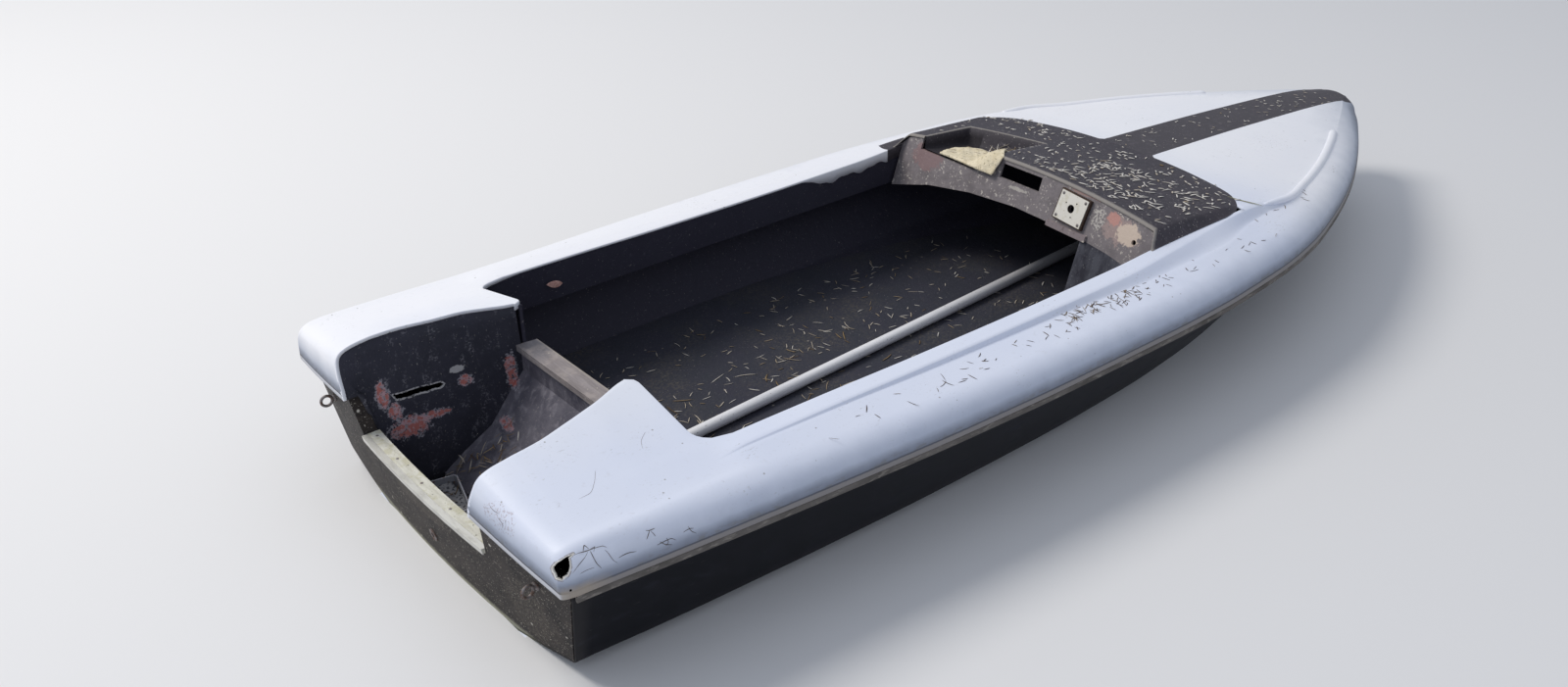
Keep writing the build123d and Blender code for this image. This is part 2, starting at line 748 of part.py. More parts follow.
def well_front():
    """Sloping forward face of the motor well."""
    foot = well_floor_top + seat_gap
    aft = [(x, max(z, foot)) for x, z in WELL_FRONT]
    forward = [(x + well_wall, z - well_wall / 2) for x, z in WELL_FRONT[1:-1]]
    outline = aft + [(aft[-1][0] + well_wall, foot)] + forward[::-1] + [(aft[0][0] + well_wall, aft[0][1])]

    def layer(side):
        return polygon(0, [(x, side * (quarter_inner(x) - seat_gap), z) for x, z in outline])

    return ruled([layer(-1), layer(1)])


def thwart():
    front = thwart_place + thwart_width
    aft_half, front_half = quarter_inner(thwart_place) - seat_gap, quarter_inner(front) - seat_gap
    plan = [(thwart_place, aft_half), (front, front_half), (front, -front_half), (thwart_place, -aft_half)]
    return prism_z(plan, thwart_top - thwart_thickness, thwart_top)


def bent_strap():
    """Bent flat bar fixed to the inside of the transom."""
    low, high = 92.0, 110.0
    face = transom_x(200, low, transom_thickness) + seat_gap + 1
    outer = [(face, 225), (face, 205), (138, 183), (142, 176), (100, 24), (face - 2, 10), (face - 2, -12)]
    inner = [(face + 3, -12), (face + 3, 8), (103, 21), (146, 177), (140, 187), (face + 3, 208),
             (face + 3, 225)]
    return prism_z(outer + inner, low, high)


def cover_pole():
    start, end = Vector(520, -48, 0), Vector(2600, 88, 0)
    height = sole_top + pole_radius + seat_gap
    direction = end - start
    base = Plane(origin=(start.X, start.Y, height), z_dir=direction)
    return Solid.make_cylinder(pole_radius, direction.length, base)


# Eyes
def eye(plane):
    """Rigid eye: a ring of wire on a short shank and round foot, standing along the plane's z axis."""
    centre = Location((0, 0, eye_foot + eye_shank + eye_radius), (90, 0, 0))
    ring = Solid.make_torus(eye_radius, eye_wire).moved(plane.location * centre)
    foot = Solid.make_cylinder(eye_foot_radius, eye_foot, plane)
    shank = Solid.make_cylinder(eye_wire * 0.9, eye_foot + eye_shank, plane)
    hole = Solid.make_cylinder(eye_bore, 4 * eye_wire).moved(
        plane.location * centre * Location((0, 0, -2 * eye_wire)))
    return foot.fuse(shank).fuse(ring).cut(hole)


def stern_eye():
    y, z = stern_eye_y, stern_eye_z
    lean = 2 * transom_bow * y / transom_bow_at ** 2
    face = Plane(origin=(transom_x(y, z), y, z), x_dir=(0, 0, 1), z_dir=(-1, lean, -tan(radians(transom_rake))))
    return eye(face.offset(2 * seat_gap))


def bow_eye():
    z = bow_eye_z
    for a, b in zip(STATIONS, STATIONS[1:]):
        if a.keel <= z <= b.keel:
            x = blend(a.place, b.place, (z - a.keel) / (b.keel - a.keel))
            normal = (b.keel - a.keel, 0, a.place - b.place)
            break
    stem = Plane(origin=(x, 0, z), x_dir=(0, 0, 1), z_dir=normal)
    return eye(stem.offset(seat_gap))


def drain_socket():
    """Tube through the foot of the transom with a flange outside."""
    flange_start = -seat_gap - drain_flange
    tube = drain_cylinder(drain_radius + drain_wall, flange_start, transom_thickness)
    flange = drain_cylinder(drain_radius + drain_rim, flange_start, -seat_gap)
    return tube.fuse(flange).cut(drain_cylinder(drain_radius, -60, 90))


save(hull_shell(), "hull_shell")
save(transom(), "transom")
save(cap_plank(), "transom_cap_plank")
save(cap_angle(), "transom_cap_angle")
save(keel_strip(), "keel_strip")
rail = spray_rail()
save(Compound([rail, flip(rail)]), "spray_rails")
strake = rub_strake()
save(strake, "rub_strake_port")
save(flip(strake), "rub_strake_starboard")
save(rub_strake_bow(), "rub_strake_bow")
deck = side_deck()
save(deck, "side_deck_port")
save(flip(deck), "side_deck_starboard")
save(foredeck(), "foredeck")
save(quarter_deck(), "quarter_deck_port")
save(torn_quarter_deck(), "quarter_deck_starboard")
rib = foredeck_rib()
save(rib, "foredeck_rib_port")
save(flip(rib), "foredeck_rib_starboard")
save(hood(), "hood")
save(tray(), "tray")
save(tray_board(), "tray_board")
save(dash_panel(), "dash_panel")
save(steering_pad(), "steering_pad")
save(steering_plate(), "steering_plate")
save(dash_batten(), "dash_batten")
save(dash_gusset(), "dash_gusset")
panel = side_panel()
save(panel, "side_panel_port")
save(flip(panel), "side_panel_starboard")
save(sole(), "sole")
save(aft_bulkhead(), "aft_bulkhead")
whole_side, torn_side = well_side()
save(torn_side, "well_side_port")
save(flip(whole_side), "well_side_starboard")
save(well_floor(), "well_floor")
save(well_front(), "well_front")
save(thwart(), "thwart_plank")
save(bent_strap(), "bent_strap")
save(cover_pole(), "cover_pole")
stern = stern_eye()
save(stern, "stern_eye_port")
save(flip(stern), "stern_eye_starboard")
save(bow_eye(), "bow_eye")
save(drain_socket(), "drain_socket")
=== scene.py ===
# %% [markdown]
# An open glass-fibre speedboat, stripped and afloat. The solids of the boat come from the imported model.
# This lesson dresses them: the smooth mouldings are worked out with numpy from one table of lines, and
# every surface gets a finish made of shader nodes. Everything is in metres: X runs forward from the
# transom, Y to port and Z up from the waterline.

from math import cos, radians, sin, tan

import bmesh
import bpy
import numpy as np
from mathutils import Matrix, Vector


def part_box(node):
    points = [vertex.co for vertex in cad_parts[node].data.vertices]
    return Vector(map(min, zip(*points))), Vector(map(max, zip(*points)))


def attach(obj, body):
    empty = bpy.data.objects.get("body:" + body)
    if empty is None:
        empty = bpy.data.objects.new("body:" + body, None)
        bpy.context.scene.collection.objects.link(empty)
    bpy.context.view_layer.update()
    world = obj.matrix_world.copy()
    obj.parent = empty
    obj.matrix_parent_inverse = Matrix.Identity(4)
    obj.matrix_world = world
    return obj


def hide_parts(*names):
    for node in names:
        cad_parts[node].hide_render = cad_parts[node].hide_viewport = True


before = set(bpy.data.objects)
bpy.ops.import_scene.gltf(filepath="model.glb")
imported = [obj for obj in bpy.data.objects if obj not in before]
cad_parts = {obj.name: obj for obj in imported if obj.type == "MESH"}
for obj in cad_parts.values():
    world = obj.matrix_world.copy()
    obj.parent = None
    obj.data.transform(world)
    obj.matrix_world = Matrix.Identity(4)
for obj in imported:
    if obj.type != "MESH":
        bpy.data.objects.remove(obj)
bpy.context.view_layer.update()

# %% [markdown]
# The camera looks down from behind the boat's starboard quarter, from about the height of a standing eye.
# Its place and lens could be tried by eye. They were worked out instead from points that lie in pairs on
# the two sides of the boat, because the two sides of a boat match.

# %% Camera
forward = Vector((0.5417, 0.6875, -0.4837)).normalized()
right = forward.cross(Vector((0.3172, 0.3657, 0.8750))).normalized()
up = right.cross(forward)
camera = bpy.data.objects.new("camera", bpy.data.cameras.new("camera"))
camera.data.sensor_fit = "HORIZONTAL"
camera.data.sensor_width = 36.0
camera.data.lens = 33.75
turned = Matrix((right, up, -forward)).transposed().to_4x4()
camera.matrix_world = Matrix.Translation((-1.184, -2.926, 2.289)) @ turned
bpy.context.scene.collection.objects.link(camera)
bpy.context.scene.camera = camera
print("lens", camera.data.lens)

# %% [markdown]
# A boatbuilder draws a hull as a table of offsets: one row a station, one column for each line that runs
# along the boat. The same table serves here. Between two rows a cubic curve is drawn, and its slope at a
# row is the harmonic mean of the slopes on each side, so that no line swings out past its own rows.

# %% Table of lines
# place along the boat, half breadth, sheer, half breadth at the chine, chine, keel, shoulder, crown, half
# breadth of the step, step, rise of the step, width of the round shoulder, width of the step's face, all in
# millimetres
TABLE = np.array([
    (-81, 697.0, 317, 598.2, 45, -87, 430, 520, 606, 434, 3, 36, 6),
    (0, 700.1, 316, 599.8, 45, -88, 430, 520, 606, 434, 3, 36, 6),
    (239, 718.9, 314, 612.3, 43, -92, 424, 520, 606, 434, 3, 46, 6),
    (439, 733.8, 312, 620.1, 42, -96, 418, 520, 606, 434, 3, 58, 6),
    (758, 755.8, 310, 630.3, 42, -101, 410, 518, 606, 431, 6, 67, 6),
    (1120, 774.6, 308, 638.2, 44, -106, 402, 516, 606, 424, 10, 67, 6),
    (1502, 784.0, 307, 639.7, 50, -110, 396, 514, 606, 421, 14, 67, 8),
    (1879, 784.0, 306, 630.3, 60, -113, 393, 512, 607, 423, 22, 67, 30),
    (2121, 776.2, 305, 612.3, 70, -114, 392, 508, 596, 432, 28, 67, 45),
    (2298, 761.3, 305, 590.4, 80, -113, 391, 480, 577, 434, 29, 67, 62),
    (2499, 736.2, 304, 546.4, 95, -108, 390, 454, 560, 433, 28, 67, 30),
    (2699, 693.1, 303, 483.7, 113, -98, 388, 442, 560, 412, 8, 67, 12),
    (2899, 627.2, 302, 405.3, 134, -80, 384, 431, 505, 395, 1, 67, 10),
    (3099, 548.0, 301, 322.2, 157, -54, 379, 419, 432, 389, 1, 67, 10),
    (3299, 452.4, 300, 238.3, 181, -18, 373, 405, 340, 382, 1, 67, 10),
    (3480, 350.4, 299, 167.0, 204, 30, 366, 392, 243, 375, 1, 67, 10),
    (3631, 256.4, 298, 110.5, 224, 88, 358, 380, 160, 367, 1, 64, 10),
    (3738, 184.2, 298, 69.8, 240, 150, 352, 370, 100, 360, 1, 58, 10),
    (3800, 136.4, 298, 46.3, 250, 195, 348, 363, 62, 355, 1, 52, 10),
    (3850, 100.4, 298, 29.8, 256, 230, 344, 356, 42, 350, 1, 38, 10),
    (3867, 83.9, 298, 23.5, 260, 240, 332, 344, 32, 338, 1, 30, 9),
    (3875, 73.7, 298, 19.6, 262, 244, 318, 327, 26, 323, 1, 26, 8)]) / 1000.0
BREADTH, SHEER, CHINE_Y, CHINE_Z, KEEL, SHOULDER, CROWN, STEP_Y, STEP_Z, RISE, ROLL, FACE = range(12)


def fair(at, rows, wanted):
    """Smooth curves through rows: between two rows a cubic with each row's value and slope at its ends.

    The slope at a row is twice the product of its two neighbouring slopes over their sum, or nothing where
    they differ in sign.
    """
    wanted = np.asarray(wanted, float)
    run = np.diff(rows, axis=0) / np.diff(at)[:, None]
    a, b = run[:-1], run[1:]
    level = np.where(a * b > 0, 2 * a * b / np.where(a + b == 0, 1, a + b), 0.0)
    slope = np.concatenate([run[:1], level, run[-1:]])
    i = np.clip(np.searchsorted(at, wanted) - 1, 0, len(at) - 2)
    h = (at[i + 1] - at[i])[..., None]
    t = (wanted - at[i])[..., None] / h
    high = rows[i + 1] * t ** 2 * (3 - 2 * t)
    low = rows[i] * (1 + 2 * t) * (1 - t) ** 2 + slope[i] * h * t * (1 - t) ** 2
    return np.moveaxis(low + high - slope[i + 1] * h * t ** 2 * (1 - t), -1, 0)


def lines(x):
    """Every line of the table at the places x."""
    return fair(TABLE[:, 0], TABLE[:, 1:], x)


print("half breadth at 1.5 m:", float(lines(1.5)[BREADTH]))

# %% [markdown]
# Every new piece is a grid: a table of points, with a face between each four neighbours. One function turns
# grids into a mesh, joins the points that meet, and turns all faces outwards. Solidify could draw both
# skins of a moulding, and it does: the grid is the outer skin, and the modifier adds the laminate behind
# it.

# %% Grids into meshes
COUNTS = {}


def smoothstep(t):
    """0 below 0, 1 above 1, and 3t squared less 2t cubed between."""
    t = np.clip(t, 0.0, 1.0)
    return t * t * (3 - 2 * t)


def mix(a, b, t):
    """The value a share t of the way from a to b."""
    return a + (b - a) * t


def cells(shape, first):
    """Four corners of each cell of a grid, or of many equal grids, whose points are numbered in order."""
    rows, cols = shape[-2:]
    one = np.arange(rows - 1)[:, None] * cols + np.arange(cols - 1)[None, :]
    one = np.stack([one, one + 1, one + cols + 1, one + cols], -1).reshape(-1, 4)
    many = int(np.prod(shape[:-2], dtype=int))
    return (first + np.arange(many)[:, None, None] * rows * cols + one[None]).reshape(-1, 4)


def make(name, grids, material, facing=None, wall=0.0, keep=None, values=None, inner=None, weld=2e-5):
    """Joins grids of points into one mesh piece on the boat.

    facing is the way that the faces look on the whole, wall the thickness added behind them and inner its
    material. keep chooses faces by their middles, values are numbers stored on the points, one array a grid,
    and points nearer than weld become one.
    """
    sizes = [g.shape[:-1] for g in grids]
    starts = np.cumsum([0] + [int(np.prod(s)) for s in sizes])
    faces = np.concatenate([cells(s, first) for s, first in zip(sizes, starts)])
    points = np.concatenate([g.reshape(-1, 3) for g in grids])
    if keep is not None:
        faces = faces[keep(points[faces].mean(1))]
    mesh = bpy.data.meshes.new(name)
    mesh.from_pydata(points.tolist(), [], faces.tolist())
    for key, numbers in (values or {}).items():
        stored = np.concatenate([np.broadcast_to(v, s).ravel() for v, s in zip(numbers, sizes)])
        mesh.attributes.new(key, "FLOAT", "POINT").data.foreach_set("value", stored.astype(np.float32))
    work = bmesh.new()
    work.from_mesh(mesh)
    bmesh.ops.remove_doubles(work, verts=work.verts, dist=weld)
    bmesh.ops.dissolve_degenerate(work, edges=work.edges, dist=1e-6)
    bmesh.ops.delete(work, geom=[v for v in work.verts if not v.link_faces], context="VERTS")
    bmesh.ops.recalc_face_normals(work, faces=work.faces)
    if facing is not None and sum(f.normal.dot(Vector(facing)) * f.calc_area() for f in work.faces) < 0:
        bmesh.ops.reverse_faces(work, faces=work.faces)
    work.to_mesh(mesh)
    work.free()
    mesh.polygons.foreach_set("use_smooth", np.ones(len(mesh.polygons), bool))
    piece = bpy.data.objects.new(name, mesh)
    bpy.context.scene.collection.objects.link(piece)
    mesh.materials.append(material)
    if wall:
        solid = piece.modifiers.new("wall", "SOLIDIFY")
        solid.thickness = wall
        solid.offset = -1.0
        if inner is not None:
            mesh.materials.append(inner)
            solid.material_offset = 1
            solid.material_offset_rim = 0
    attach(piece, "root")
    COUNTS[name] = len(mesh.polygons)
    return piece


def mirrored(grids):
    """The same grids on both sides of the centreline."""
    return list(grids) + [g * (1, -1, 1) for g in grids]


# %% [markdown]
# Long thin pieces, such as the rubbing strip and the ribs, are a flat outline carried along a path. A curve
# with a bevel object could do it too, but worked out here the outline stays upright, and its two ends can
# close on their own middles.

# %% Outlines along paths
def carried(path, outline, size=None):
    """Grid of an outline (across, up) carried along a path, with its ends closed on the outline's middle.

    Each point is the path's point, plus size times across times the sideways direction, plus size times up
    times the upright direction.
    """
    path, outline = np.asarray(path, float), np.asarray(outline, float)
    along = np.gradient(path, axis=0)
    along /= np.linalg.norm(along, axis=1, keepdims=True)
    side = np.cross((0.0, 0.0, 1.0), along)
    side /= np.linalg.norm(side, axis=1, keepdims=True)
    top = np.cross(along, side)
    loop = np.concatenate([outline, outline[:1]])
    size = np.ones(len(path)) if size is None else np.asarray(size, float)
    body = (path[:, None] + side[:, None] * loop[None, :, 0, None] * size[:, None, None]
            + top[:, None] * loop[None, :, 1, None] * size[:, None, None])
    first = np.broadcast_to(body[:1, :-1].mean(1, keepdims=True), body[:1].shape)
    last = np.broadcast_to(body[-1:, :-1].mean(1, keepdims=True), body[-1:].shape)
    return np.concatenate([first, body, last])


def rounded(width, height, radius, steps=4):
    """Outline of a rectangle with round corners: four quarter circles round the corners' centres."""
    angle = np.linspace(0, np.pi / 2, steps)
    quarter = np.stack([np.cos(angle), np.sin(angle)], -1) * radius
    a, b = width / 2 - radius, height / 2 - radius
    corners = [quarter * (1, 1) + (a, b), quarter[::-1] * (-1, 1) + (-a, b),
               quarter * (-1, -1) + (-a, -b), quarter[::-1] * (1, -1) + (a, -b)]
    return np.concatenate(corners)


def smooth_path(points, count):
    """Points spread evenly by length along the fair curve through the given ones."""
    points = np.asarray(points, float)
    at = np.concatenate([[0], np.cumsum(np.linalg.norm(np.diff(points, axis=0), axis=1))])
    return fair(at, points, np.linspace(0, at[-1], count)).T


print("outline points of a 10 by 20 strip:", len(rounded(0.010, 0.020, 0.003)))

# %% [markdown]
# Finishes are built from shader nodes. Each starts from a base colour, and coats lie over it where patterns
# say so: dirt, scuffs, chalked paint. A picture could carry all that, but a pattern of noise on the boat's
# own coordinates has its sizes in millimetres, stays sharp when one comes near, and doesn't slide with the
# view.

# %% Finish helpers
def srgb(code):
    """Hex colour as it looks on a screen, turned to linear light: a dark part is divided by 12.92, and
    another has 0.055 added, is divided by 1.055 and raised to the power 2.4."""
    part = np.array([int(code[i:i + 2], 16) for i in (1, 3, 5)]) / 255.0
    light = np.where(part <= 0.04045, part / 12.92, ((part + 0.055) / 1.055) ** 2.4)
    return (*light.tolist(), 1.0)


def add(tree, kind, inputs=None, **settings):
    """Adds one node: inputs holds values or other nodes' sockets, settings are the node's own properties."""
    node = tree.nodes.new(kind)
    for key, value in settings.items():
        setattr(node, key, value)
    for key, value in (inputs or {}).items():
        if isinstance(value, bpy.types.NodeSocket):
            tree.links.new(value, node.inputs[key])
        else:
            node.inputs[key].default_value = value
    return node


def patches(size_mm, low, high, stretch=(1, 1, 1), seed=0.0, detail=4.0):
    """Pattern of patches about size_mm across: fractal noise, 0 below low and 1 above high. A stretch above 1
    squeezes the patches along that axis."""
    def pattern(tree):
        at = add(tree, "ShaderNodeTexCoord").outputs["Object"]
        moved = add(tree, "ShaderNodeMapping", {"Vector": at, "Location": (seed, seed * 0.7, seed * 1.3),
                                                "Scale": stretch}).outputs[0]
        noise = add(tree, "ShaderNodeTexNoise", {"Vector": moved, "Scale": 1000.0 / size_mm, "Detail": detail,
                                                 "Roughness": 0.6}).outputs[0]
        return add(tree, "ShaderNodeMapRange", {"Value": noise, "From Min": low, "From Max": high}).outputs[0]
    return pattern


def grains(size_mm, radius, share, seed=0.0):
    """Pattern of small round spots: cells about size_mm apart, a spot in the middle of a share of them."""
    def pattern(tree):
        at = add(tree, "ShaderNodeTexCoord").outputs["Object"]
        moved = add(tree, "ShaderNodeMapping", {"Vector": at, "Location": (seed, seed, seed)}).outputs[0]
        cell = add(tree, "ShaderNodeTexVoronoi", {"Vector": moved, "Scale": 1000.0 / size_mm})
        round_spot = add(tree, "ShaderNodeMapRange", {"Value": cell.outputs["Distance"], "From Min": radius,
                                                      "From Max": radius * 0.6}).outputs[0]
        lot = add(tree, "ShaderNodeSeparateColor", {"Color": cell.outputs["Color"]}).outputs[0]
        chosen = add(tree, "ShaderNodeMath", {0: lot, 1: share}, operation="LESS_THAN").outputs[0]
        return add(tree, "ShaderNodeMath", {0: round_spot, 1: chosen}, operation="MULTIPLY").outputs[0]
    return pattern


def edged(measure, start, end, wander, size_mm, detail):
    """0 where what measure gives is before start and 1 after end. Noise of up to wander to each side is added
    to it first, in patches of size_mm, so that the edge wanders."""
    def pattern(tree):
        at = add(tree, "ShaderNodeTexCoord").outputs["Object"]
        noise = add(tree, "ShaderNodeTexNoise", {"Vector": at, "Scale": 1000.0 / size_mm,
                                                 "Detail": detail}).outputs[0]
        value = add(tree, "ShaderNodeMath", {0: noise, 1: wander * 2, 2: measure(tree, at)},
                    operation="MULTIPLY_ADD").outputs[0]
        return add(tree, "ShaderNodeMapRange", {"Value": value, "From Min": start + wander,
                                                "From Max": end + wander}).outputs[0]
    return pattern


def beyond(axis, start, end, wander=0.0, size_mm=60.0):
    """0 where the coordinate along an axis is before start, 1 after end, with an edge that wanders."""
    def measure(tree, at):
        return add(tree, "ShaderNodeSeparateXYZ", {"Vector": at}).outputs[axis]
    return edged(measure, start, end, wander, size_mm, 5.0)


def stored(name, start, end, wander=0.0, size_mm=16.0):
    """0 where the number stored on the points is before start, 1 after end, with an edge that wanders."""
    def measure(tree, at):
        return add(tree, "ShaderNodeAttribute", attribute_name=name).outputs["Fac"]
    return edged(measure, start, end, wander, size_mm, 6.0)


def spot(centre, size, wander=0.3, grain_mm=14.0, seed=0.0):
    """1 inside an egg round a place and 0 outside: the distance from its centre in half widths, plus noise,
    so that its edge is ragged like flaked paint."""
    def pattern(tree):
        at = add(tree, "ShaderNodeTexCoord").outputs["Object"]
        near = add(tree, "ShaderNodeMapping",
                   {"Vector": at, "Location": [-c / s for c, s in zip(centre, size)],
                    "Scale": [1.0 / s for s in size]}).outputs[0]
        far = add(tree, "ShaderNodeVectorMath", {0: near}, operation="LENGTH").outputs["Value"]
        moved = add(tree, "ShaderNodeMapping", {"Vector": at, "Location": (seed, seed, seed)}).outputs[0]
        noise = add(tree, "ShaderNodeTexNoise", {"Vector": moved, "Scale": 1000.0 / grain_mm, "Detail": 7.0,
                                                 "Roughness": 0.7}).outputs[0]
        edge = add(tree, "ShaderNodeMath", {0: noise, 1: wander * 4, 2: far},
                   operation="MULTIPLY_ADD").outputs[0]
        return add(tree, "ShaderNodeMapRange", {"Value": edge, "From Min": 1.0 + wander * 2,
                                                "From Max": 0.88 + wander * 2}).outputs[0]
    return pattern


def finish(name, base, coats=(), rough=0.5, metallic=0.0, bumps=(), specular=0.5, ior=1.5):
    """Material with a base colour and coats over it. A coat has patterns, which are multiplied together, a
    colour, a strength and a roughness. bumps are patterns with a height in millimetres."""
    material = bpy.data.materials.new(name)
    material.use_nodes = True
    tree = material.node_tree
    shader = tree.nodes["Principled BSDF"]
    for key, value in (("Metallic", metallic), ("Specular IOR Level", specular), ("IOR", ior)):
        shader.inputs[key].default_value = value
    colour, shine = srgb(base), rough
    for patterns, over, strength, over_rough in coats:
        mask = strength
        for pattern in patterns:
            mask = add(tree, "ShaderNodeMath", {0: pattern(tree), 1: mask}, operation="MULTIPLY").outputs[0]
        colour = add(tree, "ShaderNodeMix", {0: mask, 6: colour, 7: srgb(over)}, data_type="RGBA").outputs[2]
        shine = add(tree, "ShaderNodeMix", {0: mask, 2: shine, 3: over_rough}, data_type="FLOAT").outputs[0]
    for key, value in (("Base Color", colour), ("Roughness", shine)):
        if isinstance(value, bpy.types.NodeSocket):
            tree.links.new(value, shader.inputs[key])
        else:
            shader.inputs[key].default_value = value
    normal = None
    for pattern, height_mm in bumps:
        inputs = {"Height": pattern(tree), "Distance": height_mm / 1000.0, "Strength": 1.0}
        if normal is not None:
            inputs["Normal"] = normal
        normal = add(tree, "ShaderNodeBump", inputs).outputs[0]
    if normal is not None:
        tree.links.new(normal, shader.inputs["Normal"])
    return material


# %% [markdown]
# Gelcoat is the coloured polyester skin of a glass-fibre moulding. It is sprayed into a polished mould, so
# it is glossy when new, with a slight waviness from the mould. This one is old: the white has gone chalky,
# with faint blue-grey patches, dark specks, and a grimy band where it meets the hull. Its colour also holds
# painted light and shade: it is lighter to port, blue-grey to starboard aft of the foredeck, and blue-grey
# darkening down the outer face towards the foot, which is partly grime and partly painted shade. The
# charcoal of the hood and of the stripe to the bow was brushed over it. The edge of that paint is stored on
# the points as a distance, so its line is sharp whatever the grid is.

# %% White gelcoat
CHARCOAL = "#3B373D"
white_gelcoat = finish(
    "weathered_white_gelcoat", "#E8ECF5",
    [([patches(260, 0.4, 0.75, seed=1)], "#DAE0F0", 0.6, 0.55),
     ([beyond(0, 2.45, 2.75, 0.03, 80)], "#F8F9FD", 0.6, 0.5),
     # painted light and shade: lighter to port, where the light falls, and blue-grey to starboard aft of the
     # foredeck, where shade falls
     ([beyond(1, 0.20, 0.50, 0.03, 80)], "#F4F5FA", 0.7, 0.5),
     ([beyond(1, -0.20, -0.50, 0.03, 80), beyond(0, 2.9, 2.5, 0.03, 80)], "#D6DFF5", 0.55, 0.5),
     ([patches(16, 0.60, 0.74, seed=2, detail=6)], "#C9CCD6", 0.30, 0.6),
     ([grains(34, 0.09, 0.22, seed=3)], "#8F8C86", 0.75, 0.7),
     ([patches(150, 0.52, 0.66, seed=15), patches(5, 0.62, 0.66, seed=16, stretch=(0.5, 1, 1))],
      "#A9A8A6", 0.6, 0.6),
     ([spot((-0.050, -0.470, 0.415), (0.03, 0.065, 0.035), 0.35, 22, 8), patches(6, 0.54, 0.60, seed=18)],
      "#A9979B", 0.6, 0.7),
     # blue-grey that darkens down the outer face towards the foot: partly grime, partly painted shade of the
     # face
     ([stored("foot", 0.090, 0.030, 0.010, 60)], "#8F9BB0", 0.80, 0.6),
     ([stored("foot", 0.048, 0.018, 0.006, 40)], "#666A77", 0.72, 0.7),
     ([stored("foot", 0.036, 0.018, 0.005), patches(12, 0.48, 0.60, seed=19, stretch=(0.4, 1, 1))],
      "#77787A", 0.7, 0.7),
     ([stored("foot", 0.0175, 0.0160, 0.0012)], "#4E5058", 0.80, 0.75),
     ([stored("foot", 0.0130, 0.0120, 0.0012)], "#8B8888", 0.90, 0.7),
     ([stored("foot", 0.0130, 0.0120, 0.0010), beyond(0, -0.018, -0.034)], "#D5D8E0", 0.85, 0.6),
     ([stored("foot", 0.034, 0.016, 0.004), beyond(0, 0.09, 0.02, 0.02), beyond(0, -0.040, -0.034)],
      "#A2988C", 0.80, 0.75),
     ([stored("torn", 0.0050, 0.0035, 0.0025, 7), patches(9, 0.42, 0.50, seed=17)], "#7B6A5B", 0.65, 0.8),
     ([stored("torn", 0.0022, 0.0012, 0.0012, 6)], "#F2EFE6", 0.9, 0.8),
     ([stored("paint", 0.0, 0.0012, 0.0012)], CHARCOAL, 1.0, 0.62),
     ([stored("paint", 0.0, 0.0012), patches(22, 0.5, 0.75, seed=5)], "#5C585F", 0.60, 0.75),
     ([stored("paint", 0.0, 0.0012), patches(7, 0.66, 0.69, seed=9, detail=5)], "#B9B4AC", 0.65, 0.6)],
    rough=0.46, ior=1.53, specular=0.35, bumps=[(patches(140, 0.2, 0.8, seed=6), 0.5)])
print("nodes in the white gelcoat:", len(white_gelcoat.node_tree.nodes))

# %% [markdown]
# The hull is the same polyester skin in black. A black gloss shows every scuff: it is dusty above, streaked
# along the side, and pale scum has dried on it at the waterline. The transom is black too, but the
# outboard's bracket and years of use have rubbed it and chipped it white, and its dull brown-grey is partly
# that wear and partly painted light of its sunlit face.

# %% Black gelcoat of the hull and the transom
black_gelcoat = finish(
    "dusty_black_gelcoat", "#0B0C13",
    [([patches(90, 0.45, 0.75, seed=11)], "#1C1C24", 0.7, 0.5),
     ([patches(9, 0.68, 0.73, seed=12, stretch=(0.25, 1, 1.6))], "#5B5A58", 0.5, 0.7),
     ([patches(42, 0.60, 0.70, seed=13, stretch=(0.4, 1, 1))], "#2A2B33", 0.6, 0.65),
     ([beyond(2, 0.030, 0.008, 0.007, 25)], "#5E5C50", 0.60, 0.8),
     ([beyond(2, 0.012, 0.004, 0.003, 12)], "#8A8874", 0.55, 0.85)],
    rough=0.45, ior=1.53, specular=0.12)
transom_gelcoat = finish(
    # brown-grey base: partly rubbed gelcoat, partly painted light of the sunlit transom
    "scuffed_black_gelcoat", "#36312F",
    [([patches(70, 0.42, 0.7, seed=21)], "#211F21", 0.8, 0.6),
     ([patches(26, 0.55, 0.72, seed=22, stretch=(1, 0.4, 1.5))], "#4E4843", 0.65, 0.7),
     ([patches(11, 0.66, 0.70, seed=26, stretch=(1, 0.3, 1.6))], "#8F8880", 0.6, 0.8),
     ([patches(5, 0.65, 0.68, seed=23, detail=2)], "#C8C2B6", 0.75, 0.8),
     ([grains(40, 0.14, 0.30, seed=24)], "#D8D4CA", 0.75, 0.8),
     ([spot((-0.02, 0.02, 0.19), (0.2, 0.16, 0.035), 0.45, 30)], "#6B655F", 0.4, 0.75),
     ([spot((0.03, -0.45, 0.12), (0.2, 0.10, 0.10), 0.45, 30, 4), patches(6, 0.45, 0.6, seed=27)],
      "#6E6860", 0.6, 0.8),
     ([beyond(2, 0.020, 0.006, 0.004, 18)], "#A9A896", 0.85, 0.8)],
    rough=0.55, specular=0.15, bumps=[(patches(9, 0.3, 0.7, seed=25), 0.4)])

# %% [markdown]
# Inside, the laminate was never in a mould: it is glass mat rolled with resin and brushed with black flow
# coat, so it is lumpy, matt and dark, with dust in its hollows. In the motor well the black has flaked off,
# and the older orange paint and grey filler show in ragged places, where the photograph has them.

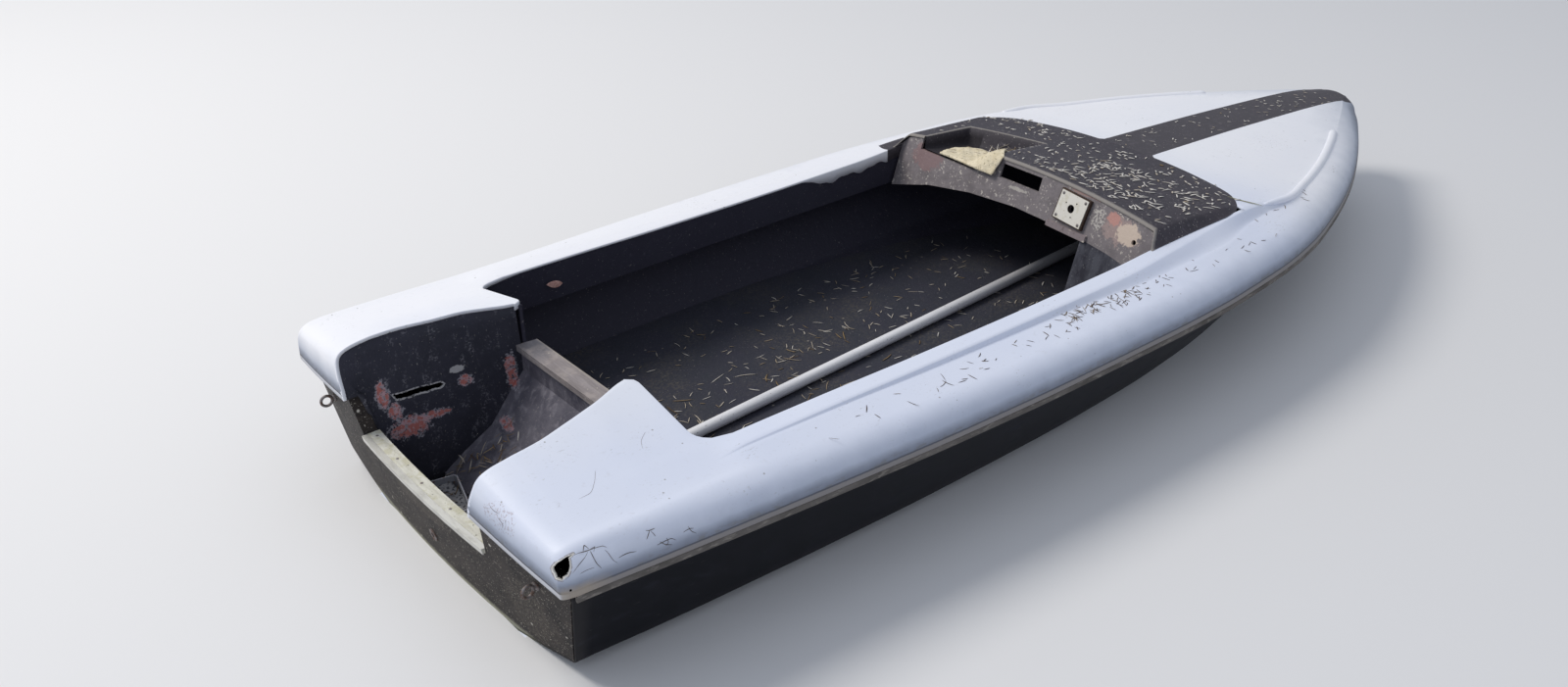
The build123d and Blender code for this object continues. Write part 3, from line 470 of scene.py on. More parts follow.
# %% Black laminate inside
INSIDE = [([patches(120, 0.4, 0.7, seed=31)], "#363642", 0.8, 0.75),
          ([patches(14, 0.60, 0.72, seed=32, detail=6)], "#4A4954", 0.6, 0.85),
          ([patches(6, 0.68, 0.72, seed=33, detail=2)], "#8F8B88", 0.6, 0.8)]
LUMPS = [(patches(16, 0.3, 0.7, seed=34, detail=6), 1.2)]
liner_black = finish("rough_black_laminate", "#32313E", INSIDE, rough=0.6, specular=0.22, bumps=LUMPS)
sole_black = finish(
    "dusty_black_floor", "#353740",
    INSIDE + [([patches(200, 0.45, 0.65, seed=35), patches(9, 0.45, 0.65, seed=36)], "#5A5650", 0.6, 0.85),
              ([grains(46, 0.10, 0.25, seed=37)], "#9B9388", 0.7, 0.85)],
    rough=0.6, specular=0.22, bumps=LUMPS)
gusset_black = finish(
    "smudged_black_gusset_with_sheen", "#30303A",
    # grey smudges stretched upright: partly scuffs, partly painted sheen of the hanging sheet
    [([patches(50, 0.45, 0.62, seed=131, stretch=(1, 1, 0.4))], "#5E616B", 0.6, 0.7),
     ([patches(8, 0.62, 0.68, seed=132)], "#86878C", 0.6, 0.8)], rough=0.6, specular=0.25)
GREY, ORANGE, PINK = "#A5A3AC", "#B0645A", "#BF979C"
# centre and half widths of each flaked place
FLAKED = [((0.043, 0.341, 0.322), (0.017, 0.06, 0.036)), ((0.096, 0.320, 0.213), (0.052, 0.07, 0.028)),
          ((0.163, 0.312, 0.230), (0.048, 0.07, 0.011)), ((0.263, 0.301, 0.301), (0.019, 0.06, 0.016)),
          ((0.386, 0.276, 0.300), (0.015, 0.05, 0.050)), ((0.331, 0.225, 0.174), (0.025, 0.032, 0.015)),
          ((0.068, 0.331, 0.268), (0.018, 0.06, 0.022))]
flakes = []
for i, (centre, size) in enumerate(FLAKED):
    wide = [1.2 * s for s in size]
    flakes += [([spot(centre, wide, 0.6, 16, i), patches(5, 0.42, 0.50, seed=40 + i)], GREY, 0.70, 0.7),
               ([spot(centre, size, 0.6, 24, i + 3), patches(9, 0.44, 0.50, seed=50 + i)], PINK, 0.80, 0.7),
               ([spot(centre, size, 0.5, 30, i + 5), patches(14, 0.48, 0.53, seed=60 + i)],
                ORANGE, 0.85, 0.7)]
RIM = "#C3C2C4"
well_black = finish(
    "flaked_black_well", "#2B2C36",
    INSIDE + [([patches(34, 0.54, 0.64, seed=38, stretch=(1, 1, 0.5)), patches(6, 0.5, 0.6, seed=39)],
               "#7B7A82", 0.60, 0.8),
              ([patches(6, 0.71, 0.74, seed=133, stretch=(1, 1, 0.3), detail=3)], "#A9A6A4", 0.7, 0.8),
              ([spot((0.246, 0.308, 0.341), (0.022, 0.05, 0.011), 0.45, 14, 2)], RIM, 0.7, 0.7),
              ([beyond(0, 0.4320, 0.4345, 0.0015, 12), beyond(2, 0.37, 0.40, 0.01),
                patches(12, 0.38, 0.46, seed=134)], RIM, 0.75, 0.7),
              ([stored("slot", 0.0050, 0.0030, 0.0016, 8), patches(10, 0.40, 0.48, seed=135)],
               RIM, 0.75, 0.7)]
    + flakes, rough=0.6, specular=0.25, bumps=LUMPS)
# the fifth and the sixth flaked place lie on the well's sloping front, and the sixth comes first there
front_flakes = flakes[15:18] + flakes[12:15]
front_black = finish(
    "scuffed_grey_black_front", "#67656F",
    [([patches(90, 0.4, 0.65, seed=71)], "#4B4A56", 0.8, 0.7),
     ([patches(26, 0.52, 0.66, seed=72, stretch=(1, 1, 0.6))], "#86838C", 0.6, 0.75),
     ([patches(7, 0.63, 0.68, seed=73)], "#9B9798", 0.6, 0.8)] + front_flakes,
    rough=0.6, specular=0.25, bumps=[(patches(16, 0.3, 0.7, seed=74, detail=6), 1.0)])
print("flaked places in the well:", len(FLAKED))

# %% [markdown]
# The hood is brushed charcoal paint over gelcoat. It has chalked in the sun to a purple-grey, fine brush
# marks catch the light, and its edges and crest are pale, partly rubbed paint and partly painted highlight.
# Deep in the tray by its steep port wall the paint is darker, as painted shade. The dash has the same
# paint, worn more; where the wheel's bracket stood it has flaked to pink undercoat and cream filler.

# %% Paint of the hood and the dash
hood_paint = finish(
    "chalky_charcoal_paint", "#37343B",
    [([patches(60, 0.4, 0.7, seed=41)], "#48444B", 0.75, 0.75),
     ([patches(14, 0.56, 0.7, seed=42, detail=7)], "#625E66", 0.6, 0.8),
     ([patches(6, 0.65, 0.69, seed=43, detail=3, stretch=(1, 0.5, 1))], "#B6B2AE", 0.7, 0.7),
     # paler crest and rims: partly rubbed paint, partly painted highlight
     ([stored("rubbed_and_highlit_edge", 0.35, 0.95, 0.25, 10)], "#9C9792", 0.8, 0.65),
     # darker deep in the tray by its port wall: painted shade
     ([stored("tray_depth_shade", 0.010, 0.030, 0.004, 30)], "#242126", 0.85, 0.8)],
    rough=0.6, specular=0.25, bumps=[(patches(6, 0.3, 0.7, seed=44), 0.25)])
dash_paint = finish(
    "worn_grey_paint", "#827C7F",
    [([patches(60, 0.45, 0.65, seed=51)], "#6A6568", 0.7, 0.65),
     ([patches(14, 0.58, 0.70, seed=55, detail=6)], "#9D9797", 0.6, 0.7),
     ([patches(24, 0.50, 0.62, seed=58), patches(8, 0.57, 0.60, seed=54, detail=3)], "#DDD7CD", 0.8, 0.7),
     ([beyond(2, 0.500, 0.508, 0.004, 12)], "#A09896", 0.7, 0.65),
     ([spot((2.085, 0.42, 0.43), (0.05, 0.07, 0.05), 0.35, 24, 1)], "#8F7576", 0.7, 0.7),
     ([spot((2.07, -0.410, 0.44), (0.05, 0.075, 0.05), 0.45, 22, 2)], "#AE9A96", 0.75, 0.7),
     ([spot((2.08, -0.440, 0.435), (0.05, 0.046, 0.036), 0.45, 16, 3)], "#DCCBBB", 0.85, 0.7),
     ([spot((2.09, -0.375, 0.460), (0.05, 0.028, 0.020), 0.45, 10, 4)], "#C9958C", 0.85, 0.7),
     ([spot((2.08, -0.320, 0.450), (0.05, 0.028, 0.042), 0.45, 10, 5), patches(8, 0.5, 0.55, seed=57)],
      "#CFCBC4", 0.8, 0.7),
     ([spot((2.10, -0.260, 0.498), (0.05, 0.085, 0.009), 0.45, 14, 6)], "#A98C85", 0.75, 0.7),
     ([spot((2.06, 0.01, 0.437), (0.05, 0.060, 0.007), 0.45, 14, 7)], "#C2BEB7", 0.7, 0.7)],
    rough=0.5, specular=0.3, bumps=[(patches(12, 0.35, 0.65, seed=56), 0.4)])

# %% [markdown]
# The transom's cap is a softwood plank gone pale in the weather: its grain stands up in ridges,
# yellow-green lichen sits in patches, and dirt fills the pores. The thwart is an old varnished plank, worn
# to grey. The board in the tray is yellowed foam, bumpy and cracked.

# %% Wood and foam
cap_wood = finish(
    "pale_weathered_plank", "#D9D8CD",
    [([patches(10, 0.4, 0.65, seed=61, stretch=(1, 0.12, 1))], "#C2C0B3", 0.8, 0.8),
     ([patches(30, 0.50, 0.60, seed=62)], "#B7B391", 0.50, 0.85),
     ([patches(5, 0.62, 0.66, seed=65)], "#8A876C", 0.7, 0.85),
     ([grains(16, 0.20, 0.3, seed=63)], "#55523F", 0.75, 0.85)],
    rough=0.75, specular=0.3, bumps=[(patches(6, 0.3, 0.7, seed=64, stretch=(1, 0.15, 1)), 0.5)])
old_wood = finish(
    "grey_worn_plank", "#948D8E",
    [([patches(9, 0.35, 0.7, seed=171, stretch=(1, 0.1, 1))], "#746D6C", 0.8, 0.7),
     ([beyond(1, 0.14, 0.17, 0.03, 60)], "#6B6A70", 0.6, 0.65),
     ([patches(40, 0.5, 0.65, seed=172)], "#A59C98", 0.6, 0.65),
     ([beyond(0, 0.462, 0.470, 0.002, 20)], "#B5ADA2", 0.6, 0.7),
     ([grains(22, 0.12, 0.25, seed=173)], "#C4BDB0", 0.8, 0.8)],
    rough=0.6, specular=0.35, bumps=[(patches(5, 0.3, 0.7, seed=174, stretch=(1, 0.1, 1)), 0.5)])
pale_board = finish(
    "cracked_pale_foam", "#EADFC4",
    [([patches(40, 0.45, 0.65, seed=95)], "#D9CBAA", 0.7, 0.85),
     ([patches(11, 0.60, 0.64, seed=96, detail=7)], "#8B8262", 0.7, 0.9),
     ([patches(60, 0.55, 0.62, seed=97), patches(7, 0.45, 0.6, seed=98)], "#A59C86", 0.6, 0.9)],
    rough=0.85, specular=0.3, bumps=[(patches(14, 0.35, 0.65, seed=99, detail=7), 1.5)])
dark_pad = finish(
    "dark_plywood_pad", "#3A2D26",
    [([patches(6, 0.4, 0.7, seed=93, stretch=(1, 0.2, 1))], "#5A463A", 0.6, 0.7)], rough=0.7, specular=0.3)
batten_paint = finish(
    "flaked_cream_batten", "#8A8083",
    [([patches(18, 0.55, 0.62, seed=101, stretch=(1, 0.3, 1))], "#CFC7BC", 0.80, 0.7),
     ([patches(9, 0.56, 0.62, seed=102)], "#6B5F60", 0.8, 0.8)], rough=0.7, specular=0.3)

# %% [markdown]
# The metals are plain: an extruded aluminium angle gone dull, a grey painted steel tube with a rolled seam,
# a white enamelled plate, and mild steel eyes and a strap that have rusted. Dull aluminium spreads its
# highlight and rust has none, so their roughness differs as much as their colour.

# %% Metals and small finishes
dull_aluminium = finish(
    "dull_aluminium_angle", "#DAD9D2",
    [([patches(14, 0.45, 0.7, seed=66, stretch=(1, 0.3, 1))], "#A5A39C", 0.6, 0.6)], rough=0.45, metallic=0.4)
pole_paint = finish(
    "grey_painted_tube", "#F1F2F6",
    [([patches(30, 0.45, 0.7, seed=81, stretch=(0.08, 1, 1))], "#DADBE1", 0.7, 0.5),
     ([patches(9, 0.64, 0.7, seed=82)], "#6D6963", 0.6, 0.7),
     # darker towards the forward end, under the dash: painted shade
     ([beyond(0, 1.7, 2.2, 0.04)], "#77767D", 0.6, 0.6)],
    rough=0.42)
white_plate = finish(
    "white_enamelled_plate", "#E9E6DD",
    [([patches(9, 0.6, 0.68, seed=91)], "#B7AF9F", 0.5, 0.6),
     ([patches(30, 0.55, 0.65, seed=92)], "#D3CDB8", 0.5, 0.5)], rough=0.35)
rusty_steel = finish(
    "rusty_mild_steel", "#7F7B7C",
    [([patches(14, 0.45, 0.6, seed=198)], "#5F4638", 0.8, 0.8),
     ([patches(5, 0.60, 0.66, seed=199)], "#9A6A4C", 0.7, 0.85)], rough=0.55, metallic=0.5)
strap_steel = finish(
    "dull_steel_strap", "#8B8E98",
    [([patches(12, 0.55, 0.65, seed=196)], "#6A4A3C", 0.75, 0.8)], rough=0.5, metallic=0.3)
grey_strip = finish(
    "grimy_rubbing_strip", "#66625F",
    [([patches(50, 0.4, 0.65, seed=197, stretch=(0.4, 1, 1))], "#4A4744", 0.8, 0.8),
     ([patches(9, 0.56, 0.66, seed=200, stretch=(0.3, 1, 1))], "#8F8A84", 0.6, 0.85)],
    rough=0.65, specular=0.3)
# near-black domes that stand in for holes: painted shade inside the hollows
shadow_black = finish("painted_hole_shade", "#0B0B0D", rough=0.9, specular=0.1)

CAD_FINISHES = {
    "transom": transom_gelcoat, "keel_strip": black_gelcoat, "spray_rails": black_gelcoat,
    "dash_panel": dash_paint, "dash_gusset": gusset_black, "steering_plate": white_plate,
    "steering_pad": dark_pad, "dash_batten": batten_paint, "side_panel_port": liner_black,
    "side_panel_starboard": liner_black, "sole": sole_black, "aft_bulkhead": liner_black,
    "well_floor": well_black, "well_front": front_black, "thwart_plank": old_wood,
    "bent_strap": strap_steel, "cover_pole": pole_paint,
    "stern_eye_port": rusty_steel, "stern_eye_starboard": rusty_steel, "bow_eye": rusty_steel,
    "drain_socket": rusty_steel, "transom_cap_plank": cap_wood, "transom_cap_angle": dull_aluminium,
}
for node, material in CAD_FINISHES.items():
    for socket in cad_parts[node].material_slots:
        socket.material = material
print("finishes on solids:", len(CAD_FINISHES))

# %% [markdown]
# The hull is one black moulding with a vee bottom and hard chines. Lofting it from a few curves would do,
# but a section worked out at every place from the table keeps the chine sharp. The section is three runs:
# keel to chine, a small round, chine to sheer. Its after edge follows the raked and gently curved transom.

# %% Hull
RAKE = tan(radians(9.6))
STEM = 3.866


def transom_x(y, z):
    """The transom's outer face: aft with height by the rake, forward with the square of the half breadth."""
    return -z * RAKE + 0.035 * (y / 0.6) ** 2


def hull_section(x):
    """Half sections at the places x, as (half breadth, height): straight runs joined by a curve whose three
    control points are two on the runs and the chine itself."""
    row = lines(x)
    keel, chine = np.stack([0 * x, row[KEEL]], -1), np.stack([row[CHINE_Y], row[CHINE_Z]], -1)
    sheer = np.stack([row[BREADTH] - 0.014, row[SHEER]], -1)
    keel, chine, sheer = keel[:, None], chine[:, None], sheer[:, None]
    t = np.linspace(0, 1, 11)[:-1, None]
    s = np.linspace(0, 1, 6)[:-1, None]
    a, b = mix(keel, chine, 0.97), mix(chine, sheer, 0.04)
    bend = a * (1 - s) ** 2 + chine * 2 * s * (1 - s) + b * s ** 2
    return np.concatenate([mix(keel, a, t), bend, mix(b, sheer, np.linspace(0, 1, 10)[:, None])], 1)


def hull_grid():
    """Sections along the boat: near the stern each point slides aft to the transom, at the bow the last
    sections draw in to close the stem."""
    x = np.concatenate([np.linspace(0, 0.6, 13)[:-1], np.linspace(0.6, 3.6, 61)[:-1],
                        np.linspace(3.6, STEM, 19)])
    flat = hull_section(x)
    slide = np.clip(1 - x / 0.6, 0, 1)[:, None]
    place = x[:, None] + transom_x(flat[..., 0], flat[..., 1]) * slide
    draw = np.sqrt(np.clip(1 - (np.clip(x - 3.85, 0, 1) / 0.016) ** 2, 0, 1))[:, None]
    return np.stack([place, flat[..., 0] * draw, flat[..., 1]], -1)


hull = make("hull_moulding", mirrored([hull_grid()]), black_gelcoat, facing=(0, 0, -1), wall=0.009,
            inner=liner_black)
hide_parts("hull_shell")
print("hull faces", COUNTS["hull_moulding"])

# %% [markdown]
# The deck is a second moulding, white, that caps the hull's edge all round. It is one mesh from the stern
# to the stem, because a seam in the middle of a smooth skin would show as a crease of light. Its outer edge
# stands up and rolls over in a round shoulder, a step rises from the side deck to the strip along the
# cockpit, and forward of the hood the strip becomes the crowned foredeck.

# %% Deck sections
INNER = 0.550


def deck_outer(x):
    """Half section from the deck's foot to the top of its step: a leaning face, a quarter ellipse sheared to
    meet the slope, the slope, and a step with a soft foot and a crisp top, 2t squared less t cubed."""
    row = lines(x)[..., None]
    b, s, sh = row[BREADTH], row[SHEER], row[SHOULDER]
    low_y, low_z = row[STEP_Y] + row[FACE], row[STEP_Z] - row[RISE]
    upright = mix(0.60, 0.35, smoothstep(x / 0.75))[:, None]
    face_y, face_z, sh_y = b - 0.005, s + (sh - s) * upright, b - 0.005 - row[ROLL]
    lean = (low_z - sh) / np.maximum(sh_y - low_y, 0.01)
    t = np.linspace(0, 1, 5)[:-1]
    face = mix(b, face_y, t), mix(s, face_z, t)
    angle = np.linspace(0, np.pi / 2, 17)[:-1]
    y = sh_y + (face_y - sh_y) * np.cos(angle)
    foot = face_z + lean * (face_y - sh_y)
    roll = y, foot + (sh - foot) * np.sin(angle) - lean * (y - sh_y)
    t = np.linspace(0, 1, 7)[:-1]
    slope = mix(sh_y, low_y, t), mix(sh, low_z, t)
    t = np.array([0.0, 0.04, 0.12, 0.3, 0.5, 0.7, 0.88, 0.96, 1.0])
    step = mix(low_y, row[STEP_Y], t), mix(low_z, row[STEP_Z], 2 * t ** 2 - t ** 3)
    return [np.concatenate(p, -1) for p in zip(face, roll, slope, step)]


def strip_inner(x, drop):
    """From the step to the cockpit's edge, then a quarter circle down and a short drop inside the cockpit."""
    row = lines(x)[..., None]
    y0, z0 = row[STEP_Y], row[STEP_Z]
    t = np.linspace(0, 1, 5)[1:]
    radius = 0.0035
    strip = mix(y0, INNER, t), mix(z0, z0 + 0.001, t)
    angle = np.linspace(0, np.pi / 2, 5)[1:]
    lip = INNER - radius * np.sin(angle) + 0 * y0, z0 + 0.001 - radius * (1 - np.cos(angle))
    low = INNER - radius + 0 * y0, z0 + 0.001 - np.maximum(drop, radius + 0.001)[:, None]
    return [np.concatenate(p, -1) for p in zip(strip, lip, low)]


def foredeck_middle(x):
    """From the step to the centreline: a parabola that rises to the crown."""
    row = lines(x)[..., None]
    y = row[STEP_Y] * (1 - np.linspace(0, 1, 24)[1:])
    return y, row[STEP_Z] + (row[CROWN] - row[STEP_Z]) * (1 - (y / row[STEP_Y]) ** 2)


def placed(x, y, z):
    """Points from places along the boat, one a row, and the sections' breadths and heights."""
    return np.stack([np.broadcast_to(x[:, None], y.shape), y, z], -1)


print("deck section points:", deck_outer(np.array([1.0]))[0].shape[1])

# %% [markdown]
# Each side of the motor well the deck rises to a broad quarter deck. The photograph shows it roll down at
# the stern on a wide curve, with a rounded outer corner, and end forward in an edge that sweeps into the
# side of the cockpit. Here that is a bend of the deck's own grid: its rows are slid and lowered, so no
# second piece is needed.

# %% Quarter decks
FRONT_END = 0.530
WELL_AFT, WELL_FORE = -0.064, 0.440
WELL_WIDE, WELL_NARROW = 0.334, 0.266
ROLL_END, ROLL_ROWS, FLAT_ROWS = 0.045, 40, 30
# down the roll: share of its height times 0.1, place at the well, place at the side, inset of the corner
ROLL_DOWN = np.array([(0.0, -0.064, -0.038, 0.022), (0.040, -0.063, -0.038, 0.014),
                      (0.075, -0.055, -0.034, 0.008), (0.090, -0.036, -0.020, 0.003),
                      (0.097, 0.0, 0.004, 0.0), (0.100, 0.045, 0.045, 0.0)])
rise_share, aft_inner, aft_outer, corner_inset = (smooth_path(ROLL_DOWN, ROLL_ROWS) / (0.100, 1, 1, 1)).T
# place, half breadth and height of the deck's edge over the well
WELL_EDGE = np.array([(-0.064, 0.371, 0.484), (0.010, 0.371, 0.486), (0.100, 0.365, 0.490),
                      (0.215, 0.337, 0.494), (0.290, 0.317, 0.498), (0.400, 0.2735, 0.498),
                      (0.440, 0.266, 0.497)])


def quarter_inner(x):
    """Half width of the motor well at its foot: straight from the stern to the cockpit."""
    return mix(WELL_WIDE, WELL_NARROW, (x - WELL_AFT) / (WELL_FORE - WELL_AFT))


def well_edge_at(x):
    """Half breadth and height of the deck's edge over the well: the fair curve through measured points."""
    return fair(WELL_EDGE[:, 0], WELL_EDGE[:, 1:], np.clip(x, WELL_AFT, WELL_FORE))


def front_line(y):
    """Forward edge of the quarter deck: straight across, an ellipse's quarter into the cockpit's side, and a
    small round at the well's corner."""
    turn = np.clip((y - 0.490) / 0.060, 0, 1)
    corner = np.clip(1 - (y - WELL_NARROW) / 0.030, 0, 1)
    sweep = (FRONT_END - WELL_FORE) * (1 - np.sqrt(np.clip(1 - turn ** 2, 0, 1)))
    return WELL_FORE + sweep - 0.024 * (1 - np.sqrt(np.clip(1 - corner ** 2, 0, 1)))


def quarter_grid():
    """Rows across the deck from its foot to the well's edge, and how high each point is over the foot.

    The first rows climb the roll at the stern, and a row's place is mixed between its outer and inner ends
    with the square of the half breadth. The other rows slide from the roll's end to the forward edge. Heights
    are those of the side deck, mixed to a slope that leaves the shoulder level and rises to the well, s
    squared times 1.12 over s plus 0.12, and lowered to the foot by the roll's share.
    """
    on = np.linspace(0, 1, FLAT_ROWS + 1)[1:]
    x = np.concatenate([aft_outer, mix(ROLL_END, FRONT_END, on)])
    x_in = np.concatenate([aft_inner, mix(ROLL_END, WELL_FORE, on)])
    rise = np.concatenate([rise_share, np.ones(FLAT_ROWS)])[:, None]
    inset = np.concatenate([corner_inset, np.zeros(FLAT_ROWS)])[:, None]
    side_y, side_z = deck_outer(x)
    strip_y, strip_z = [p[:, :4] for p in strip_inner(x, np.full(len(x), 0.01))]
    half = mix(WELL_WIDE, well_edge_at(x_in)[0][:, None], smoothstep(rise / 0.92))
    y = np.concatenate([side_y, strip_y, mix(INNER, half, np.linspace(0, 1, 25)[None, 1:])], -1)
    z_side = np.concatenate([side_z, strip_z, np.repeat(strip_z[:, -1:], 24, -1)], -1)
    across = np.clip((y ** 2 - WELL_WIDE ** 2) / (0.70 ** 2 - WELL_WIDE ** 2), 0, 1)
    stern = mix(x_in[:, None], x[:, None], across)
    ahead = mix(ROLL_END, np.where(y >= INNER - 1e-9, FRONT_END, front_line(y)),
                np.concatenate([np.zeros(ROLL_ROWS), on])[:, None])
    place = np.where((np.arange(len(x)) < ROLL_ROWS)[:, None], stern, ahead)
    base = mix(lines(x)[SHEER][:, None], 0.351, np.clip((0.70 - y) / 0.36, 0, 1))
    edge_y, edge_z = well_edge_at(place)
    shoulder_y = (lines(x)[BREADTH] - 0.005 - lines(x)[ROLL])[:, None]
    s = np.clip((shoulder_y - y) / (shoulder_y - edge_y), 0, 1)
    plane = mix(lines(x)[SHOULDER][:, None], edge_z, s ** 2 * 1.12 / (s + 0.12))
    share = smoothstep((FRONT_END - place) / 0.10)
    share = np.where(y < INNER, 1 - (1 - share) * smoothstep((y - 0.42) / 0.13), share)
    z_top = np.where(y > shoulder_y, z_side, mix(z_side, plane, share))
    z = base + (z_top - base) * rise
    y = y - inset * np.clip((y - INNER) / 0.12, 0, 1)
    return np.stack([place, y, z], -1), z - base


def lip_grid(edge, turn, fall, depth, radius):
    """Edge turned down along a line of points: a quarter circle from turn into fall, then straight on to the
    depth."""
    angle = np.linspace(0, np.pi / 2, 5)[None, :, None]
    turn = (turn / np.linalg.norm(turn, axis=-1, keepdims=True))[:, None]
    fall = (fall / np.linalg.norm(fall, axis=-1, keepdims=True))[:, None]
    bend = edge[:, None] + turn * radius * np.sin(angle) + fall * radius * (1 - np.cos(angle))
    return np.concatenate([bend, bend[:, -1:] + fall * (np.asarray(depth)[..., None, None] - radius)], 1)


def well_lip_of(edge):
    """The turned edge over the well: towards the centreline, then at right angles to the edge's own run."""
    run = np.gradient(edge, axis=0)
    inward = np.stack([run[:, 2], 0 * run[:, 0], -run[:, 0]], -1)
    return lip_grid(edge, np.tile((0.0, -1.0, 0.0), (len(edge), 1)), inward, np.full(len(edge), 0.009), 0.002)


quarter, quarter_foot = quarter_grid()
well_lip = well_lip_of(quarter[:, -1])
front_edge = quarter[-1]
front_edge = front_edge[front_edge[:, 1] <= INNER + 1e-6]
run = np.gradient(front_edge[:, :2], axis=0)
outward = np.stack([-run[:, 1], run[:, 0], 0 * run[:, 0]], -1)
outward[0] = outward[-1] = (0.0, -1.0, 0.0)
down = np.tile((0.0, 0.0, -1.0), (len(front_edge), 1))
front_depth = mix(0.012, 0.020, smoothstep((INNER - front_edge[:, 1]) / 0.06))
front_lip = lip_grid(front_edge, outward, down, front_depth, 0.0035)
print("quarter deck points:", quarter[..., 0].size)

# %% [markdown]
# The starboard quarter is torn where it hit something: a hole with a ragged outline at the rounded corner.
# The outline is drawn on a small plane that faces the corner from outside and above, and pushed straight
# through. The grid is made four times finer there, and cells whose middles fall inside are left out. Each
# point stores how far it is from the tear, for the pale broken edge. The slot in the well's wall is cut in
# the same way.

# %% Torn corner
TEAR = np.array([(-17, 3), (-8, 10), (0, 13), (11, 18), (24, 22), (15, 16), (16, 8), (16, -1), (13, -10),
                 (9, -16), (-2, -22), (-12, -18), (-14, -10), (-17, -3)]) * 1.15 / 1000.0
TEAR_AT = np.array((-0.026, -0.685, 0.395))
TEAR_AXES = np.array([(0.888, -0.459, 0.0), (0.276, 0.533, 0.800)])
SLOT = np.array([(70, 315), (99, 313), (133, 316), (167, 315), (199, 315), (205, 308), (196, 301), (177, 302),
                 (159, 299), (143, 301), (111, 298), (77, 300)]) / 1000.0


def from_outline(flat, outline):
    """Distance of flat points from a closed outline, negative inside it: the least distance to any of its
    runs, and inside is where a line to one side crosses an odd number of them."""
    p = flat[..., None, :]
    after = np.roll(outline, -1, axis=0)
    run = after - outline
    t = np.clip(((p - outline) * run).sum(-1) / (run ** 2).sum(-1), 0, 1)
    far = np.linalg.norm(p - (outline + t[..., None] * run), axis=-1).min(-1)
    above = (outline[:, 1] > p[..., 1]) != (after[:, 1] > p[..., 1])
    rise = np.where(run[:, 1] == 0, 1e-9, run[:, 1])
    cross = outline[:, 0] + (p[..., 1] - outline[:, 1]) / rise * run[:, 0]
    inside = (above & (p[..., 0] < cross)).sum(-1) % 2 == 1
    return np.where(inside, -far, far)


def from_tear(points):
    """Distance from the torn outline on its own plane, and far away for points not at the corner."""
    near = np.linalg.norm(points - TEAR_AT, axis=-1) < 0.08
    return np.where(near, from_outline((points - TEAR_AT) @ TEAR_AXES.T, TEAR), 1.0)


def refined(grid, rows, cols, times):
    """The grid with some of its rows and columns drawn closer, points between being straight mixes."""
    def spread(count, part):
        """The lower neighbour of each new row, and how far past it the row is."""
        at = np.arange(count - 1.0)
        extra = np.arange(part[0], part[1], 1.0 / times)
        at = np.union1d(np.append(at, count - 1.0), np.round(extra, 6))
        low = np.clip(np.floor(at).astype(int), 0, count - 2)
        return low, at - low
    i, a = spread(grid.shape[0], rows)
    j, b = spread(grid.shape[1], cols)
    grid = mix(grid[i], grid[i + 1], a.reshape(-1, *[1] * (grid.ndim - 1)))
    return mix(grid[:, j], grid[:, j + 1], b.reshape(1, -1, *[1] * (grid.ndim - 2)))


def whole(middle):
    """Cells that are not torn out."""
    return from_tear(middle) >= 0


print("torn hole, length in mm:", round(1000 * float(np.ptp(TEAR[:, 0]))))

# %% [markdown]
# Now the grids are laid on both sides and joined. The lips differ: to port the white only turns the edge,
# and then grows to a ragged band before the hood, where the coaming was painted black.

# %% Deck moulding
FORE = 2.500


def side_grid(drop):
    """The side deck, from the quarter deck to the foredeck, with the lip's depth given along it."""
    parts = zip(deck_outer(side_x), strip_inner(side_x, drop))
    y, z = [np.concatenate(p, -1) for p in parts]
    return placed(side_x, y, z)


def paint_edge(p):
    """Distance inside the charcoal area: behind the hood's front line, or within the stripe to the bow."""
    x, y = p[..., 0], np.abs(p[..., 1])
    stripe = mix(0.103, 0.085, np.clip((x - 2.6) / 1.2, 0, 1))
    return np.maximum(np.minimum(hood_front(y) - x, 0.553 - y), stripe - y)


HOOD_FRONT = np.array([(0, 2.609), (0.2, 2.601), (0.37, 2.579), (0.45, 2.560), (0.492, 2.535), (0.52, 2.508),
                       (0.543, 2.474), (0.553, 2.435), (0.558, 2.400)])


def hood_front(y):
    """Place of the hood's front line at a half breadth: the fair curve through measured points."""
    return fair(HOOD_FRONT[:, 0], HOOD_FRONT[:, 1:], np.clip(np.abs(y), 0, 0.558))[0]


side_x = np.concatenate([np.linspace(FRONT_END, 1.64, 38)[:-1], np.linspace(1.64, 2.16, 40)[:-1],
                         np.linspace(2.16, FORE, 16)])
fore_x = np.concatenate([np.linspace(FORE, 3.5, 51)[:-1], np.linspace(3.5, 3.85, 24)[:-1],
                         np.linspace(3.85, 3.875, 9)])
ragged = 0.005 * np.sin(47 * side_x) + 0.003 * np.sin(103 * side_x + 1)
port_drop = mix(0.007, 0.036 + ragged, smoothstep((side_x - 1.64) / 0.10))
port_drop = np.where(side_x > 2.10, 0.012, port_drop)
joined = smoothstep((side_x - FRONT_END) / 0.05)
port_side = side_grid(mix(0.012, port_drop, joined))
starboard_side = side_grid(mix(0.012, 0.020, joined)) * (1, -1, 1)
fore_y, fore_z = [np.concatenate(p, -1) for p in zip(deck_outer(fore_x), foredeck_middle(fore_x))]
fore = placed(fore_x, fore_y, fore_z)
nose = np.stack([fore[-1], fore[-1] * (1, 1, 0) + (0, 0, float(lines(fore_x[-1])[SHEER]))])
coaming = np.minimum(np.minimum(port_side[..., 0] - 2.025 - 0.004 * np.sin(400 * port_side[..., 1]),
                                2.140 - port_side[..., 0]), 0.618 - port_side[..., 1])
torn_side = refined(np.concatenate([quarter, quarter_foot[..., None]], -1), (7, 31), (0, 16), 4)
torn_quarter, torn_foot = torn_side[..., :3], torn_side[..., 3]
